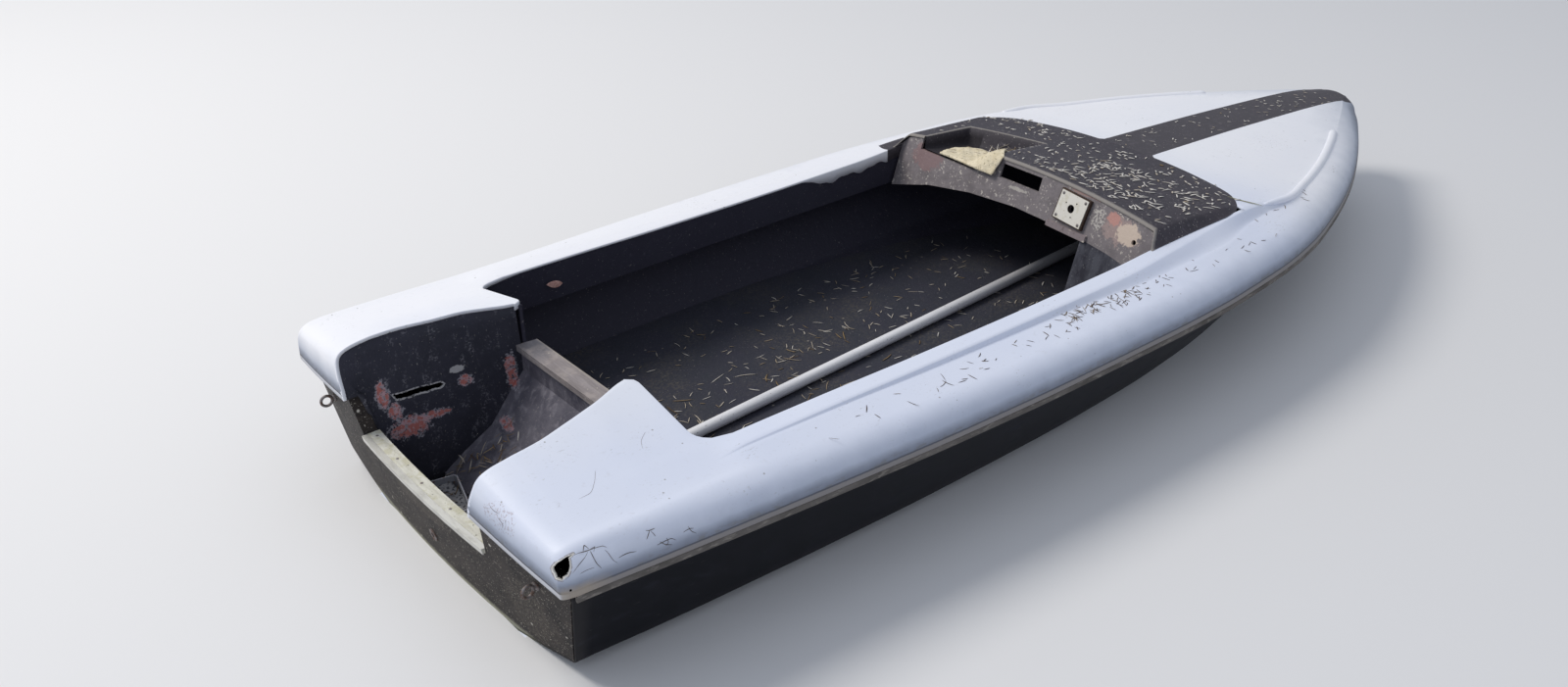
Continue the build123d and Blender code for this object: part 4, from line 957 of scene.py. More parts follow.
starboard_side, fine_fore, fine_nose = [refined(g, (0, 0), (0, 16), 4) for g in (starboard_side, fore, nose)]
port_grids = [quarter, well_lip, front_lip, port_side, fore, nose]
starboard_grids = [g * (1, -1, 1) for g in (torn_quarter, well_lip_of(torn_quarter[:, -1]), front_lip)]
starboard_grids += [starboard_side, fine_fore * (1, -1, 1), fine_nose * (1, -1, 1)]
port_paint = [-1.0, -1.0, -1.0, coaming, paint_edge(fore), paint_edge(nose)]
starboard_paint = [-1.0, -1.0, -1.0, -1.0, paint_edge(fine_fore), paint_edge(fine_nose)]
side_sheer, fore_sheer = [lines(x)[SHEER][:, None] for x in (side_x, fore_x)]
port_foot = [quarter_foot, 1.0, 1.0, port_side[..., 2] - side_sheer, fore[..., 2] - fore_sheer,
             nose[..., 2] - nose[1, 0, 2]]
starboard_foot = [torn_foot, 1.0, 1.0, starboard_side[..., 2] - side_sheer, fine_fore[..., 2] - fore_sheer,
                  fine_nose[..., 2] - nose[1, 0, 2]]
deck = make("deck_moulding", port_grids + starboard_grids, white_gelcoat, facing=(0, 0, 1), wall=0.0055,
            inner=liner_black, keep=whole,
            values={"paint": port_paint + starboard_paint, "foot": port_foot + starboard_foot,
                    "torn": [np.abs(from_tear(g)) for g in port_grids + starboard_grids]})
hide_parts("side_deck_port", "side_deck_starboard", "foredeck", "quarter_deck_port",
            "quarter_deck_starboard")
print("deck faces", COUNTS["deck_moulding"])

# %% [markdown]
# The motor well's walls hang from the deck's turned edges: black laminate that drops to the well's floor.
# The port one has a torn slot, where a cable once passed. Each wall is ruled from the lip above to the foot
# below, and the share of the lean is the square of the share of the height, so that the foot stays upright.

# %% Walls of the motor well
WALL_END = 0.4385


def wall_grid(count, up):
    """Points from the line over the transom and along the floor up to the lip: places and heights are mixed
    with the share up, and half breadths with its square."""
    bend, last = ROLL_ROWS - 1.0, ROLL_ROWS + FLAT_ROWS - 1.0
    row = np.concatenate([np.linspace(0, bend, 30)[:-1], np.linspace(bend, last, count)])
    line = np.arange(last + 1)
    top = np.stack([np.interp(row, line, well_lip[:, -1, k]) for k in range(3)], -1)[:, None]
    knots = np.array([0.0, 8.0, bend, last])
    corners = np.array([(-0.056, 0.3335, 0.350), (-0.009, WELL_WIDE, 0.350),
                        (ROLL_END, quarter_inner(ROLL_END), 0.030),
                        (WALL_END, quarter_inner(WALL_END), 0.030)])
    foot = np.stack([np.interp(row, knots, corners[:, k]) for k in range(3)], -1)[:, None]
    top = np.where(top[..., :1] > WALL_END, top * (0, 1, 1) + (WALL_END, 0, 0), top)
    lean = up[None, :, None] ** np.array((1.0, 2.0, 1.0))
    return mix(foot, top, lean)


def not_slot(middle):
    """Cells outside the slot, seen from the side."""
    return from_outline(middle[:, [0, 2]], SLOT) >= 0


even = np.linspace(0, 1, 14)
port_wall = wall_grid(150, np.concatenate([even[:7], np.linspace(even[7], even[9], 46), even[10:]]))
starboard_wall = wall_grid(30, even) * (1, -1, 1)
slot_far = np.abs(from_outline(port_wall[..., [0, 2]], SLOT))
wall_port = make("well_wall_port", [port_wall], well_black, facing=(0, -1, 0), wall=0.006, keep=not_slot,
                 values={"slot": [slot_far]})
wall_starboard = make("well_wall_starboard", [starboard_wall], well_black, facing=(0, 1, 0), wall=0.006,
                      values={"slot": [1.0]})
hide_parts("well_side_port")
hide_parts("well_side_starboard")
print("well wall faces", COUNTS["well_wall_port"], COUNTS["well_wall_starboard"])

# %% [markdown]
# A rib is moulded on each side of the foredeck, half round, along the line where the step has faded. It is
# a bead carried along a fair path that lies on the deck: blunt forward, and fading out under the hood's
# corner.

# %% Foredeck ribs
RIB_AFT, RIB_FORE = 2.60, 3.42
rib_x = np.linspace(RIB_AFT, RIB_FORE, 70)
row = lines(rib_x)
rib_path = np.stack([rib_x, row[STEP_Y] - 0.002, row[STEP_Z] - 0.002], -1)
angle = np.linspace(np.pi, 0, 11)
bead = np.concatenate([np.stack([0.0135 * np.cos(angle), 0.0115 * np.sin(angle)], -1),
                       [(0.013, -0.004), (-0.013, -0.004)]])
blunt = np.sqrt(np.clip((RIB_FORE - rib_x) / 0.012, 0, 1))
fade = blunt * np.clip(0.45 + (rib_x - RIB_AFT) / 0.11, 0, 1) * 0.999 + 0.001
rib = carried(rib_path, bead, size=fade)
ribs = make("foredeck_ribs", mirrored([rib]), white_gelcoat,
            values={"paint": [np.full(rib.shape[:2], -1.0)] * 2, "foot": [np.ones(rib.shape[:2])] * 2,
                    "torn": [np.ones(rib.shape[:2])] * 2})
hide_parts("foredeck_rib_port", "foredeck_rib_starboard")
print("rib length in mm:", round(1000 * float(np.ptp(rib_x))))

# %% [markdown]
# The joint between hull and deck is covered by a rubbing strip all round, a thin vinyl moulding grey with
# grime. It is one outline carried along the sheer from one quarter round the bow to the other.

# %% Rubbing strip
strake_x = np.concatenate([np.linspace(-0.004, 3.5, 90), np.linspace(3.52, STEM, 24)])
row = lines(strake_x)
port_line = np.stack([strake_x, row[BREADTH] - 0.0055, row[SHEER] - 0.0105], -1)
round_x = np.linspace(0, np.pi, 9)[1:-1]
end_y, end_z = port_line[-1, 1:]
nose_line = np.stack([STEM + 0.005 * np.sin(round_x), end_y * np.cos(round_x), 0 * round_x + end_z], -1)
strake_path = np.concatenate([port_line, nose_line, port_line[::-1] * (1, -1, 1)])
strake = make("rubbing_strip", [carried(strake_path, rounded(0.0105, 0.0195, 0.0045))], grey_strip)
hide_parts("rub_strake_port", "rub_strake_starboard", "rub_strake_bow")
print("rubbing strip faces", COUNTS["rubbing_strip"])

# %% [markdown]
# The hood is a low cowl over the dash, with a tray sunk into its port side. Both are one moulding, so they
# are one mesh of four blocks that share their edges: starboard of the tray, ahead of it, port of it, and
# the tray itself, which is a field of heights that dips from the rim to the floor. Steep to port, it slopes
# gently ahead and to starboard.

# %% Hood and tray
# place, half breadth, height at the corners, height of the crown
HOOD = np.array([(2.050, 0.527, 0.482, 0.522), (2.120, 0.528, 0.475, 0.5149), (2.300, 0.530, 0.462, 0.488),
                 (2.500, 0.532, 0.446, 0.457), (2.640, 0.532, 0.436, 0.445)])
AFT_EDGE, FOOT_Y = 2.120, 0.557
DASH_LEAN = radians(20)


def on_foredeck(x, y):
    """Height of the foredeck: the parabola from the step up to the crown."""
    row = lines(x)
    return row[STEP_Z] + (row[CROWN] - row[STEP_Z]) * (1 - np.clip(np.abs(y) / row[STEP_Y], 0, 1) ** 2)


def hood_height(x, y):
    """Height of the hood: a parabola across through corners and crown, rounded down to the strip at its
    sides, and mixed to the foredeck's own curve over the last 60 mm behind the front line."""
    half, corner, crown = fair(HOOD[:, 0], HOOD[:, 1:], x)
    a = np.abs(y)
    top = crown - (crown - corner) * (a / half) ** 2
    strip_z = lines(x)[STEP_Z] + 0.0015
    side = np.clip((a - (half - 0.006)) / (FOOT_Y - half + 0.006), 0, 1)
    top = mix(top, strip_z, 0.45 * side + 0.55 * smoothstep(side))
    near = smoothstep((hood_front(a) - x) / 0.06)
    under = np.where(x > 2.45, on_foredeck(x, y), strip_z) + 0.0008
    return np.where(top > under, mix(under, top, near), np.maximum(top, under))


def aft_edge(y):
    """Place of the hood's after edge: its fall from the crown times the tangent of the dash's lean brings it
    aft, and so does a smooth step of 30 mm at the sides."""
    fall = 0.515 - hood_height(AFT_EDGE + 0 * y, y)
    return AFT_EDGE - fall * tan(DASH_LEAN) - 0.030 * smoothstep((np.abs(y) - 0.520) / 0.037)


def tray_head(y):
    """Place of the tray's forward rim at y: further aft at its port side."""
    return mix(2.385, 2.325, np.clip((y - 0.156) / (0.450 - 0.156), 0, 1))


def tray_floor(x):
    """Height of the tray's floor: one straight slope down towards the bow."""
    return mix(0.446, 0.398, (x - AFT_EDGE) / 0.280)


def slanted(x, y):
    """Slides lines near the tray's starboard rim so that it runs out a little towards the bow: the share
    fades straight to nothing on both sides of the rim."""
    reach = np.clip(1 - np.abs(y - 0.145) / np.where(y < 0.145, 0.5, 0.28), 0, 1)
    return y + (0.093 * (x - AFT_EDGE) - 0.011) * reach


def block(y, t, ahead):
    """Plan of one block of the hood for lines at y: rows mixed from the after edge to the tray's head, or
    from there to the front."""
    start, end = (tray_head(y), hood_front(y)) if ahead else (aft_edge(y), tray_head(y))
    x = mix(start[None, :], end[None, :], t[:, None])
    y = np.where(np.abs(y) > 0.54, y + 0 * x, slanted(x, y + 0 * x))
    return x, y


aft_rows = 1 - (1 - np.linspace(0, 1, 26)) ** 1.5
fore_rows = np.linspace(0, 1, 28)
edge_y = FOOT_Y - 0.035 * np.linspace(1, 0, 12) ** 1.2
starboard_y = np.concatenate([-edge_y[::-1], np.linspace(-0.522, 0.145, 40)[1:]])
port_y = np.concatenate([np.linspace(0.452, 0.522, 7), edge_y[1:]])
tray_y = np.concatenate([np.linspace(0.145, 0.215, 12), np.linspace(0.215, 0.440, 22)[1:-1],
                         [0.440, 0.442, 0.4435, 0.4445, 0.4455, 0.447, 0.449, 0.4505, 0.452]])
AROUND = ((starboard_y, aft_rows, False), (starboard_y, fore_rows, True), (tray_y, fore_rows, True),
          (port_y, aft_rows, False), (port_y, fore_rows, True))
blocks, rubbed_and_highlit_edge, tray_depth_shade = [], [], []
for y_lines, rows, is_ahead in AROUND:
    x, y = block(y_lines, rows, is_ahead)
    blocks.append(np.stack([x, y, hood_height(x, y)], -1))
    # 1 along the crest and the tray's rims, fading within 6 to 10 mm: painted paler, partly rubbed paint and
    # partly painted highlight
    crest = np.clip(1 - (x - aft_edge(y_lines)) / 0.010, 0, 1)
    by_tray = np.maximum(np.clip(1 - np.abs(x - tray_head(y_lines)) / 0.006, 0, 1) * (y > 0.15) * (y < 0.456),
                         np.clip(1 - np.abs(y_lines - 0.452) / 0.006, 0, 1) * (x < 2.33))
    rubbed_and_highlit_edge.append(np.maximum(crest, by_tray))
    tray_depth_shade.append(0 * x)
x, y = block(tray_y, aft_rows, False)
rim = hood_height(x, y)
floor_z = tray_floor(x) + 0.0005
to_port = smoothstep((tray_y - 0.4405) / 0.0085) + 0 * x
to_starboard = smoothstep((0.205 - tray_y) / 0.060) + 0 * x
to_front = smoothstep((x - tray_head(tray_y) + 0.045) / 0.045)
wall_share = np.maximum(np.maximum(to_port, to_starboard), to_front)
x = x - (aft_edge(tray_y) - 2.0955) * (1 - wall_share) * np.clip(1 - (x - aft_edge(tray_y)) / 0.08, 0, 1)
pan = np.stack([x, y, mix(floor_z, rim, wall_share)], -1)
blocks.append(pan)
# depth under the rim on the tray's port side, darkened in the finish as painted shade
tray_depth_shade.append((rim - pan[..., 2]) * (tray_y > 0.38))
rubbed_and_highlit_edge.append(np.clip((wall_share - 0.93) / 0.07, 0, 1))
angle = np.linspace(0, np.pi / 2, 6)
for y_lines in (starboard_y, port_y):
    aft_x = aft_edge(y_lines)
    y = np.where(np.abs(y_lines) > 0.54, y_lines, slanted(aft_x, y_lines))
    top = hood_height(aft_x, y)
    turn = np.stack([aft_x[:, None] - 0.007 * np.sin(angle)[None, :], y[:, None] + 0 * angle[None, :],
                     top[:, None] - 0.007 * (1 - np.cos(angle))[None, :]], -1)
    blocks.append(turn)
    rubbed_and_highlit_edge.append(np.ones(turn.shape[:2]))
    tray_depth_shade.append(np.zeros(turn.shape[:2]))
hood = make("hood_cowl", blocks, hood_paint, facing=(0, 0, 1), weld=5e-5, values={"rubbed_and_highlit_edge": rubbed_and_highlit_edge, "tray_depth_shade": tray_depth_shade})
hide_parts("hood", "tray")
print("hood faces", COUNTS["hood_cowl"])

# %% [markdown]
# A slab of pale foam lies in the tray, its after edge on the dash and one corner up on the tray's starboard
# slope, where it droops over the dash's edge. Its outline is broken, and its top is lumpy. It is a round
# grid pulled out to the outline, top, rim and underside in one closed skin. Neither it nor the straw may
# rise above the solids' box, whose top is at 0.515, so both stop at a highest point a little under that.

# %% Foam board in the tray
HIGHEST = 0.5130
RINGS = 31
OUTLINE = np.array([(2.0925, 0.366), (2.0910, 0.300), (2.0870, 0.245), (2.0810, 0.210), (2.0800, 0.165),
                    (2.0800, 0.118), (2.1080, 0.092), (2.165, 0.140), (2.228, 0.182), (2.262, 0.222),
                    (2.276, 0.290), (2.275, 0.352), (2.240, 0.380), (2.192, 0.394), (2.140, 0.384)])
middle = OUTLINE.mean(0)
loop = np.concatenate([OUTLINE, OUTLINE[:1]])
length = np.concatenate([[0], np.cumsum(np.linalg.norm(np.diff(loop, axis=0), axis=1))])
along = np.linspace(0, length[-1], 97)
outline = np.stack([np.interp(along, length, loop[:, k]) for k in (0, 1)], -1)
way = along / length[-1] * 2 * np.pi
bite = 1 - 0.018 * np.sin(9 * way) * np.sin(23 * way + 1)
radius = np.concatenate([np.linspace(0, 1, RINGS), [1.0, 1.0], np.linspace(1, 0, RINGS)[1:]])
plan = middle + (outline - middle)[None] * (bite[:, None] * radius[:, None, None])
under = tray_floor(plan[..., 0]) + 0.0014
rim_under = hood_height(np.maximum(plan[..., 0], AFT_EDGE), plan[..., 1]) + 0.0014
droop = np.clip((plan[..., 0] - 2.081) / 0.027, 0, 1)
under = mix(under, rim_under, np.clip((0.237 - plan[..., 1]) / 0.088, 0, 1) * droop)
lumps = 0.0016 * np.sin(70 * plan[..., 0] + 1) * np.sin(83 * plan[..., 1]) \
    + 0.0011 * np.sin(171 * plan[..., 0] + 40 * plan[..., 1]) * np.sin(201 * plan[..., 1] + 2)
is_top = np.concatenate([np.ones(RINGS), [0.5, 0.0], np.zeros(RINGS - 1)])[:, None]
edge_fall = 0.003 * np.clip((radius - 0.86) / 0.14, 0, 1)[:, None]
board_z = under + is_top * (0.0092 + lumps * (1 - np.clip((radius - 0.8) / 0.2, 0, 1))[:, None] - edge_fall)
board_z = np.minimum(board_z, HIGHEST + 0.0014 * is_top)
board = make("foam_board", [np.concatenate([plan, board_z[..., None]], -1)], pale_board)
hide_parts("tray_board")
print("foam board faces", COUNTS["foam_board"])

# %% [markdown]
# Fasteners come last of the hard pieces: screws through the transom's cap and the steering plate, the
# plate's three small empty holes and one in the deck's foot. Each is a low dome, a circle turned about its
# axis, set on its own plane. The holes are very flat near-black domes, painted shade for their hollows.

# %% Screws and small holes
def domes(places, normal, radius, height):
    """A dome at each place: rings that shrink and rise as a quarter ellipse, from a rim sunk into the
    surface."""
    normal = np.array(normal, float) / np.linalg.norm(normal)
    side = np.cross(normal, (0.0, 1.0, 0.0) if abs(normal[1]) < 0.9 else (0.0, 0.0, 1.0))
    side /= np.linalg.norm(side)
    other = np.cross(normal, side)
    turn = np.linspace(0, 2 * np.pi, 17)
    lift = np.linspace(0, np.pi / 2, 5)
    ring = np.concatenate([[radius], radius * np.cos(lift)])
    rise = np.concatenate([[-0.0015], height * np.sin(lift)])
    flat = ring[:, None, None] * (np.cos(turn)[None, :, None] * side + np.sin(turn)[None, :, None] * other)
    return np.asarray(places, float)[:, None, None] + flat + (rise[:, None, None] * normal)


plate_middle = np.array((2.0811, -0.222, 0.4476))
plate_up = np.array((sin(DASH_LEAN), 0, cos(DASH_LEAN)))
plate_out = np.array((-cos(DASH_LEAN), 0, sin(DASH_LEAN)))
plate_side = np.array((0.0, 1.0, 0.0))
PLATE_TURN, PLATE_SKIN = radians(5), 0.0015


def on_plate(across, above):
    """A place on the plate's face, across and above its middle in mm, turned as the plate is by a sine and a
    cosine, and brought out from the middle to the face."""
    a, b = across / 1000, above / 1000
    c, s = cos(PLATE_TURN), sin(PLATE_TURN)
    turned = plate_side * (a * c - b * s) + plate_up * (a * s + b * c)
    return plate_middle + turned + plate_out * PLATE_SKIN


print("plate middle", plate_middle.tolist())
corners = [on_plate(a, b) for a, b in ((-45, 36), (45, 36), (-45, -36), (45, -36))]
screws = make("plate_screws", [domes(corners, plate_out, 0.0052, 0.0018)], rusty_steel)
small = [on_plate(a, b) for a, b in ((24, 12), (-15, 22), (-10, -24))]
holes = make("plate_small_holes", [domes(small, plate_out, 0.0024, 0.0003)], shadow_black)
foot_hole = make("deck_foot_hole", [domes([(-0.017, -0.6950, 0.3365)], (-0.35, -0.93, 0.1), 0.0036, 0.0006)],
                 shadow_black)
cap_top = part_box("transom_cap_plank")[1][2]
NAILS = ((-0.006, 0.296), (-0.015, 0.160), (-0.018, 0.018), (-0.016, -0.128))
nails = [(x, y, cap_top) for x, y in NAILS]
cap_nails = make("cap_nails", [domes(nails, (0, 0, 1), 0.0042, 0.0010)], rusty_steel)
print("small fasteners:", sum(COUNTS[k] for k in ("plate_screws", "cap_nails")), "faces")

# %% [markdown]
# Loose straw, pine needles and leaf crumbs have blown into the boat. Each is a thin three-sided blade that
# bends a little and comes to a point at both ends, with a few dozen faces at most, laid on the surface
# under it. All are one mesh, made as one array, and each blade stores a shade from brown to pale. The
# places are seeded, so that they are the same on each run.

# %% Straw and needles
chance = np.random.default_rng(7)


def blades(x, y, z, length, width, lift):
    """Grids of blades, a place each: six rings of three points along a line bent as a parabola. The rings
    shrink to its ends as a half ellipse does."""
    n = len(x)
    heading = chance.uniform(0, 2 * np.pi, n)
    length = chance.uniform(0.6, 1.4, n) * length
    bend = chance.uniform(-0.35, 0.35, n)
    t = np.linspace(-0.5, 0.5, 6)[None, :]
    dx, dy = np.cos(heading)[:, None], np.sin(heading)[:, None]
    forth, aside = t * length[:, None], bend[:, None] * (t ** 2 - 0.25) * length[:, None]
    px, py = x[:, None] + dx * forth - dy * aside, y[:, None] + dy * forth + dx * aside
    pz = np.minimum(z(px, py) + width * 0.45 + lift * (t + 0.5) * chance.uniform(0, 1, n)[:, None], HIGHEST)
    size = width * chance.uniform(0.6, 1.2, n)[:, None] * np.sqrt(np.clip(1 - (2 * t) ** 2, 0, 1))
    turn = np.linspace(0, 2 * np.pi, 4) + np.pi / 6
    ring_side, ring_up = np.cos(turn), 0.45 * np.sin(turn)
    side = np.stack([-dy + 0 * t, dx + 0 * t, 0 * px], -1)
    up = np.array((0.0, 0.0, 1.0))
    ring = ring_side[:, None] * side[:, :, None, :] + ring_up[:, None] * up
    return np.stack([px, py, pz], -1)[:, :, None] + size[..., None, None] * ring


def on_hood(x, y):
    """Height of the hood, and of the foredeck ahead of it."""
    return np.where(x < 2.60, hood_height(np.clip(x, AFT_EDGE, 2.60), y), on_foredeck(x, y))


def on_side_deck(x, y):
    """Height of the side deck: a straight mix from its shoulder to the step's foot."""
    row = lines(x)
    sh_y, low_y = row[BREADTH] - 0.005 - row[ROLL], row[STEP_Y] + row[FACE]
    t = np.clip((sh_y - np.abs(y)) / (sh_y - low_y), 0, 1)
    return mix(row[SHOULDER], row[STEP_Z] - row[RISE], t)


def on_sole(x, y):
    """Height of the cockpit's floor, which is level."""
    return 0.066 + 0 * x


def on_well(x, y):
    """Height of the well's floor and its sloping front: straight runs between measured places."""
    places = (0.0, 0.150, 0.165, 0.230, 0.313, 0.365)
    return np.interp(x, places, (0.031, 0.033, 0.048, 0.102, 0.158, 0.229)) + 0.003


def in_tray(x, y):
    """Height of the foam board's top in the tray: the tray's floor and the board's thickness."""
    return tray_floor(x) + 0.011 + 0 * y


def scatter(n, x0, x1, y0, y1, z, length, width, shade, keep=None, lift=0.0):
    """Blades spread evenly at random over a rectangle, or only where keep says so, with shades spread about
    one value by a bell curve."""
    x, y = chance.uniform(x0, x1, n), chance.uniform(y0, y1, n)
    if keep is not None:
        chosen = keep(x, y)
        x, y = x[chosen], y[chosen]
    grid = blades(x, y, z, length, width, lift)
    tone = np.clip(chance.normal(shade, 0.16, len(x)), 0, 1)
    return grid, tone[:, None, None] + np.zeros(grid.shape[:-1])


def off_tray(x, y):
    """Places on the hood outside the tray: a rectangle left out."""
    return (y < 0.12) | (y > 0.47) | (x > 2.41)


def near_foot(x, y):
    """More of them towards the foot of the well's front: a bell curve round a place there."""
    far = ((x - 0.215) / 0.060) ** 2 + ((y - 0.17) / 0.16) ** 2
    return chance.uniform(0, 1, len(x)) < np.exp(-far)


def by_edge(x, y):
    """More of them near 1.75 m along the starboard side deck: an even share and a bell curve."""
    return chance.uniform(0, 1, len(x)) < 0.45 + 0.55 * np.exp(-((x - 1.75) / 0.16) ** 2)


heaps = [
    scatter(330, 2.145, 2.58, -0.52, 0.52, on_hood, 0.020, 0.0034, 0.90, off_tray),
    scatter(130, 2.145, 2.45, -0.52, -0.05, on_hood, 0.032, 0.0036, 0.90, off_tray),
    scatter(90, 2.60, 3.75, -0.085, 0.085, on_foredeck, 0.016, 0.0026, 0.85),
    scatter(120, 1.20, 2.50, -0.690, -0.630, on_side_deck, 0.022, 0.0013, 0.12, by_edge),
    scatter(14, 0.60, 1.20, -0.700, -0.640, on_side_deck, 0.028, 0.0012, 0.15),
    scatter(24, 2.45, 2.86, -0.590, -0.50, on_side_deck, 0.022, 0.0012, 0.18),
    scatter(60, 1.60, 1.90, -0.660, -0.618, on_side_deck, 0.026, 0.0015, 0.30),
    scatter(520, 0.50, 2.30, -0.50, 0.50, on_sole, 0.030, 0.0018, 0.66),
    scatter(70, 0.55, 1.60, -0.50, 0.20, on_sole, 0.060, 0.0022, 0.55),
    scatter(420, 0.10, 0.335, -0.20, 0.29, on_well, 0.034, 0.0022, 0.42, near_foot, 0.016),
    scatter(60, 0.06, 0.335, -0.28, 0.30, on_well, 0.026, 0.0018, 0.50, None, 0.006),
    scatter(50, 2.235, 2.33, 0.16, 0.30, in_tray, 0.036, 0.0020, 0.66, None, 0.036),
    scatter(14, 2.10, 2.27, 0.20, 0.38, in_tray, 0.024, 0.0014, 0.45),
]
straw = finish(
    "dry_straw_and_needles", "#5B4736",
    [([stored("shade", 0.15, 0.60)], "#A38C68", 1.0, 0.8), ([stored("shade", 0.45, 0.85)], "#E3DFD9", 1.0, 0.8)],
    rough=0.8, specular=0.3)
make("straw_and_needles", [h[0] for h in heaps], straw, weld=1e-6, values={"shade": [h[1] for h in heaps]})
print("blades:", sum(len(h[0]) for h in heaps), "faces", COUNTS["straw_and_needles"])

# %% [markdown]
# A dead grey-green blade of grass lies over the starboard deck before the hood, and a curled pinkish leaf
# on the coaming to port. They are longer and flatter than the rest, so they get a width of their own.

# %% Grass blade and leaf
path = smooth_path([(2.530, -0.462, 0.4415), (2.540, -0.490, 0.4375), (2.552, -0.520, 0.4345),
                    (2.563, -0.548, 0.4330), (2.574, -0.572, 0.4290)], 24)
slim = np.sin(np.linspace(0, np.pi, 24)) ** 0.6 + 0.001
grass = carried(path, rounded(0.0050, 0.0016, 0.0006, 3), size=slim)
leaf_path = smooth_path([(0.668, 0.5460, 0.364), (0.684, 0.5435, 0.361), (0.700, 0.5425, 0.357),
                         (0.722, 0.5455, 0.352)], 16)
leaf_size = np.sin(np.linspace(0, np.pi, 16)) ** 0.8 + 0.001
leaf = carried(leaf_path, rounded(0.0030, 0.0220, 0.0012, 3), size=leaf_size)
green_straw = finish(
    "dead_grass", "#8B8C74", [([patches(6, 0.4, 0.7, seed=301)], "#A9A58C", 0.8, 0.8)], rough=0.75)
leaf_skin = finish(
    "dry_leaf", "#DCB2A8", [([patches(8, 0.4, 0.7, seed=302)], "#A0685C", 0.8, 0.8)], rough=0.75)
make("grass_blade", [grass], green_straw)
make("dry_leaf_on_coaming", [leaf], leaf_skin)
print("grass blade faces", COUNTS["grass_blade"])

# %% [markdown]
# Cracks run from the torn corner, dead web hangs by the deck's foot, and hairs lie on the quarter. All are
# thin dark lines through measured places. A pattern could draw them, but only a line can follow its own
# path, so each is a flat six-sided thread carried over the surface.

# %% Cracks and threads on the starboard quarter
CRACKS = [
    [(1, -685, 412), (16, -686, 413), (30, -689, 412), (48, -690, 411), (71, -693, 409), (81, -697, 402)],
    [(38, -689, 412), (32, -692, 405), (9, -695, 390), (-9, -694, 374)],
    [(42, -691, 410), (44, -696, 399), (50, -699, 378), (60, -701, 360)],
    [(41, -689, 413), (35, -681, 421), (27, -688, 413)],
    [(43, -690, 412), (55, -689, 413), (48, -694, 404)],
    [(69, -693, 408), (79, -699, 392), (90, -702, 367), (100, -704, 355)],
    [(5, -696, 367), (28, -697, 370), (44, -699, 369)],
    [(100, -703, 368), (122, -705, 371), (147, -707, 366)],
    [(176, -701, 404), (186, -703, 401), (199, -704, 401)],
    [(186, -703, 401), (179, -706, 394), (173, -708, 385)],
    [(187, -704, 399), (192, -707, 392), (195, -710, 384)],
    [(262, -716, 366), (278, -717, 369), (292, -718, 365)],
    [(195, -712, 361), (210, -713, 363), (229, -714, 364), (244, -716, 354)],
    [(203, -712, 368), (216, -714, 355), (233, -716, 347)],
    [(221, -713, 370), (224, -714, 359), (216, -714, 349)],
    [(276, -716, 378), (283, -718, 362), (296, -720, 350)]]
HAIRS = [
    [(181, -501, 457), (156, -534, 450), (126, -558, 446), (92, -560, 446)],
    [(352, -448, 462), (324, -472, 458), (310, -502, 452)],
    [(-36, -503, 441), (-49, -496, 422), (-52, -502, 401)],
    [(-53, -467, 418), (-53, -487, 408), (-55, -477, 383)],
    [(-52, -427, 436), (-53, -448, 427), (-50, -473, 428)]]


def threads(paths, width):
    """A thread along each path: a flat outline carried along it, that thins to both ends as a half sine."""
    thin = np.sin(np.linspace(0, np.pi, 16)) ** 0.5 + 0.02
    return [carried(smooth_path(np.array(p) / 1000.0, 16), rounded(width, 0.0012, 0.0004, 2), size=thin)
            for p in paths]


crack_brown = finish("brown_crack_dirt", "#5F564E", rough=0.85, specular=0.2)
hair_grey = finish("grey_hair", "#8C8688", rough=0.7, specular=0.3)
make("cracks_by_the_tear", threads(CRACKS, 0.0022), crack_brown, weld=1e-6)
make("hairs_on_the_quarter", threads(HAIRS, 0.0012), hair_grey, weld=1e-6)
print("threads:", len(CRACKS) + len(HAIRS))

# %% [markdown]
# The floor is plain pale card at the height of the waterline, since the boat is shown afloat. It stops at
# the hull, so that no card shows inside the boat: it is the hull's outline there, mixed ring by ring into a
# wide circle.

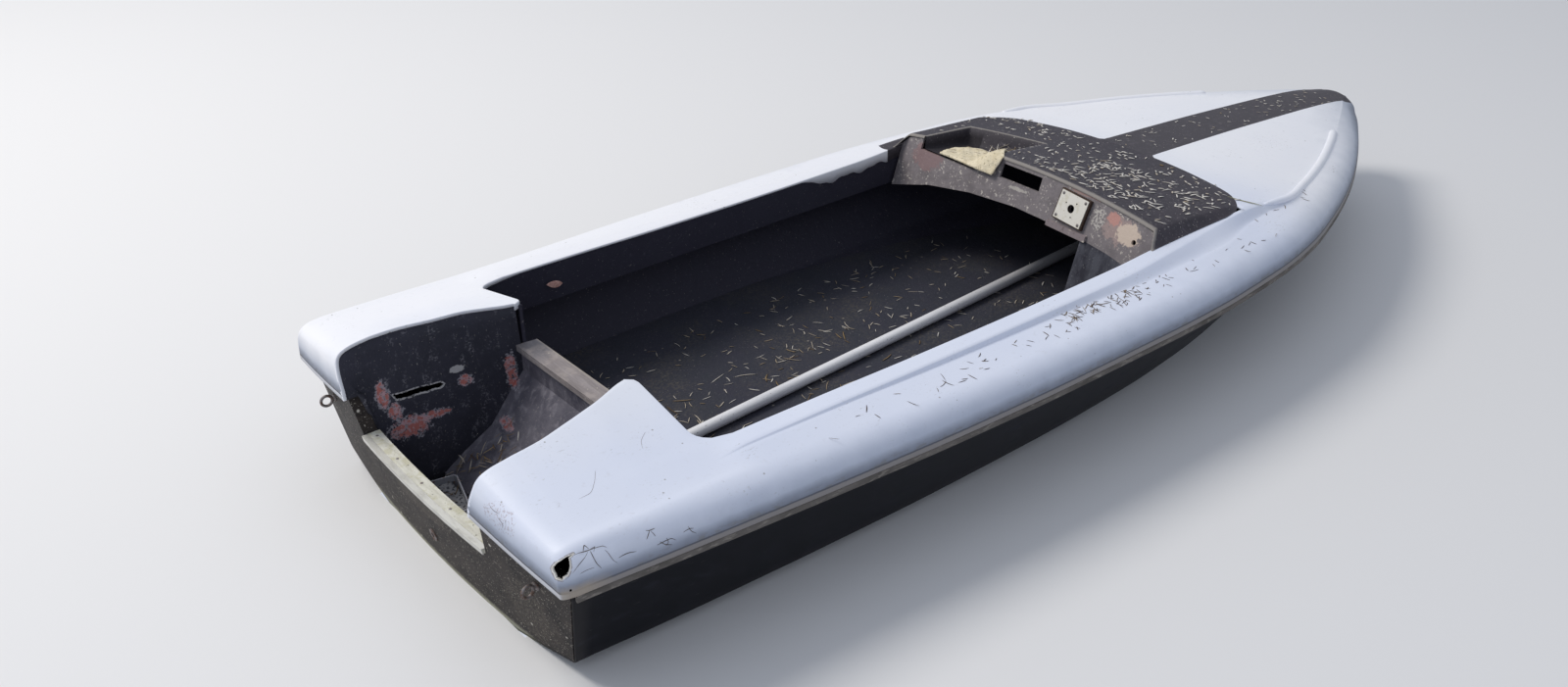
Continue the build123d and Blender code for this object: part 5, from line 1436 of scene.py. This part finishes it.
# %% Floor
MIDDLE, REACH = 1.7, 60
floor_x = np.linspace(0.008, 3.4, 50)
row = lines(floor_x)
edge_share = np.clip(-row[KEEL] / np.maximum(row[CHINE_Z] - row[KEEL], 0.01), 0, 1)
edge_y = row[CHINE_Y] * edge_share - 0.004
waterline = np.stack([floor_x, np.maximum(edge_y, 0.001), 0 * floor_x], -1)
loop = np.concatenate([waterline, waterline[::-1] * (1, -1, 1), waterline[:1]])
angle = np.unwrap(np.arctan2(loop[:, 1], loop[:, 0] - MIDDLE))
far = np.stack([MIDDLE + REACH * np.cos(angle), REACH * np.sin(angle), 0 * angle], -1)
share = np.array([0.0, 0.0005, 0.002, 0.0075, 0.025, 0.075, 0.225, 1.0])
rings = mix(loop[None], far[None], share[:, None, None])
card = finish("pale_card", "#E6E7E9", rough=0.9, specular=0.2)
floor = make("floor", [rings], card, facing=(0, 0, 1), weld=1e-7)
floor.parent = None
print("floor reaches", float(np.abs(rings).max()), "m")

# %% [markdown]
# Plain soft studio light: one large lamp high and far off the port quarter, a weak one behind the camera,
# and an even pale room. White surfaces that face up come out about as white as they are written, and the
# starboard side falls into soft shade, as in the photograph.

# %% Lights
world = bpy.data.worlds.new("room")
bpy.context.scene.world = world
world.use_nodes = True
tree = world.node_tree
background = tree.nodes["Background"]
rays = add(tree, "ShaderNodeLightPath").outputs
seen = add(tree, "ShaderNodeMath", {0: rays["Is Camera Ray"], 1: rays["Is Glossy Ray"]},
           operation="MAXIMUM").outputs[0]
seen = add(tree, "ShaderNodeMath", {0: seen, 1: rays["Is Transmission Ray"]}, operation="MAXIMUM").outputs[0]
light = add(tree, "ShaderNodeMix", {0: seen, 2: 0.54, 3: 0.80}, data_type="FLOAT").outputs[0]
background.inputs["Color"].default_value = srgb("#E4EAF6")
tree.links.new(light, background.inputs["Strength"])
LAMPS = (("key", (-3.2, 6.0, 9.5), (1.6, 0, 0.3), 5.0, 900.0, "#FFF9F0"),
         ("fill", (-2.5, -4.5, 3.5), (1.6, 0, 0.3), 4.0, 26.0, "#E9F0FF"))
for name, place, target, size, power, tint in LAMPS:
    lamp = bpy.data.objects.new(name, bpy.data.lights.new(name, "AREA"))
    lamp.data.shape = "DISK"
    lamp.data.size = size
    lamp.data.energy = power
    lamp.data.color = srgb(tint)[:3]
    direction = Vector(target) - Vector(place)
    lamp.matrix_world = Matrix.Translation(place) @ direction.to_track_quat("-Z", "Y").to_matrix().to_4x4()
    bpy.context.scene.collection.objects.link(lamp)
bpy.context.scene.view_settings.view_transform = "Standard"
print("lamps:", len(LAMPS))
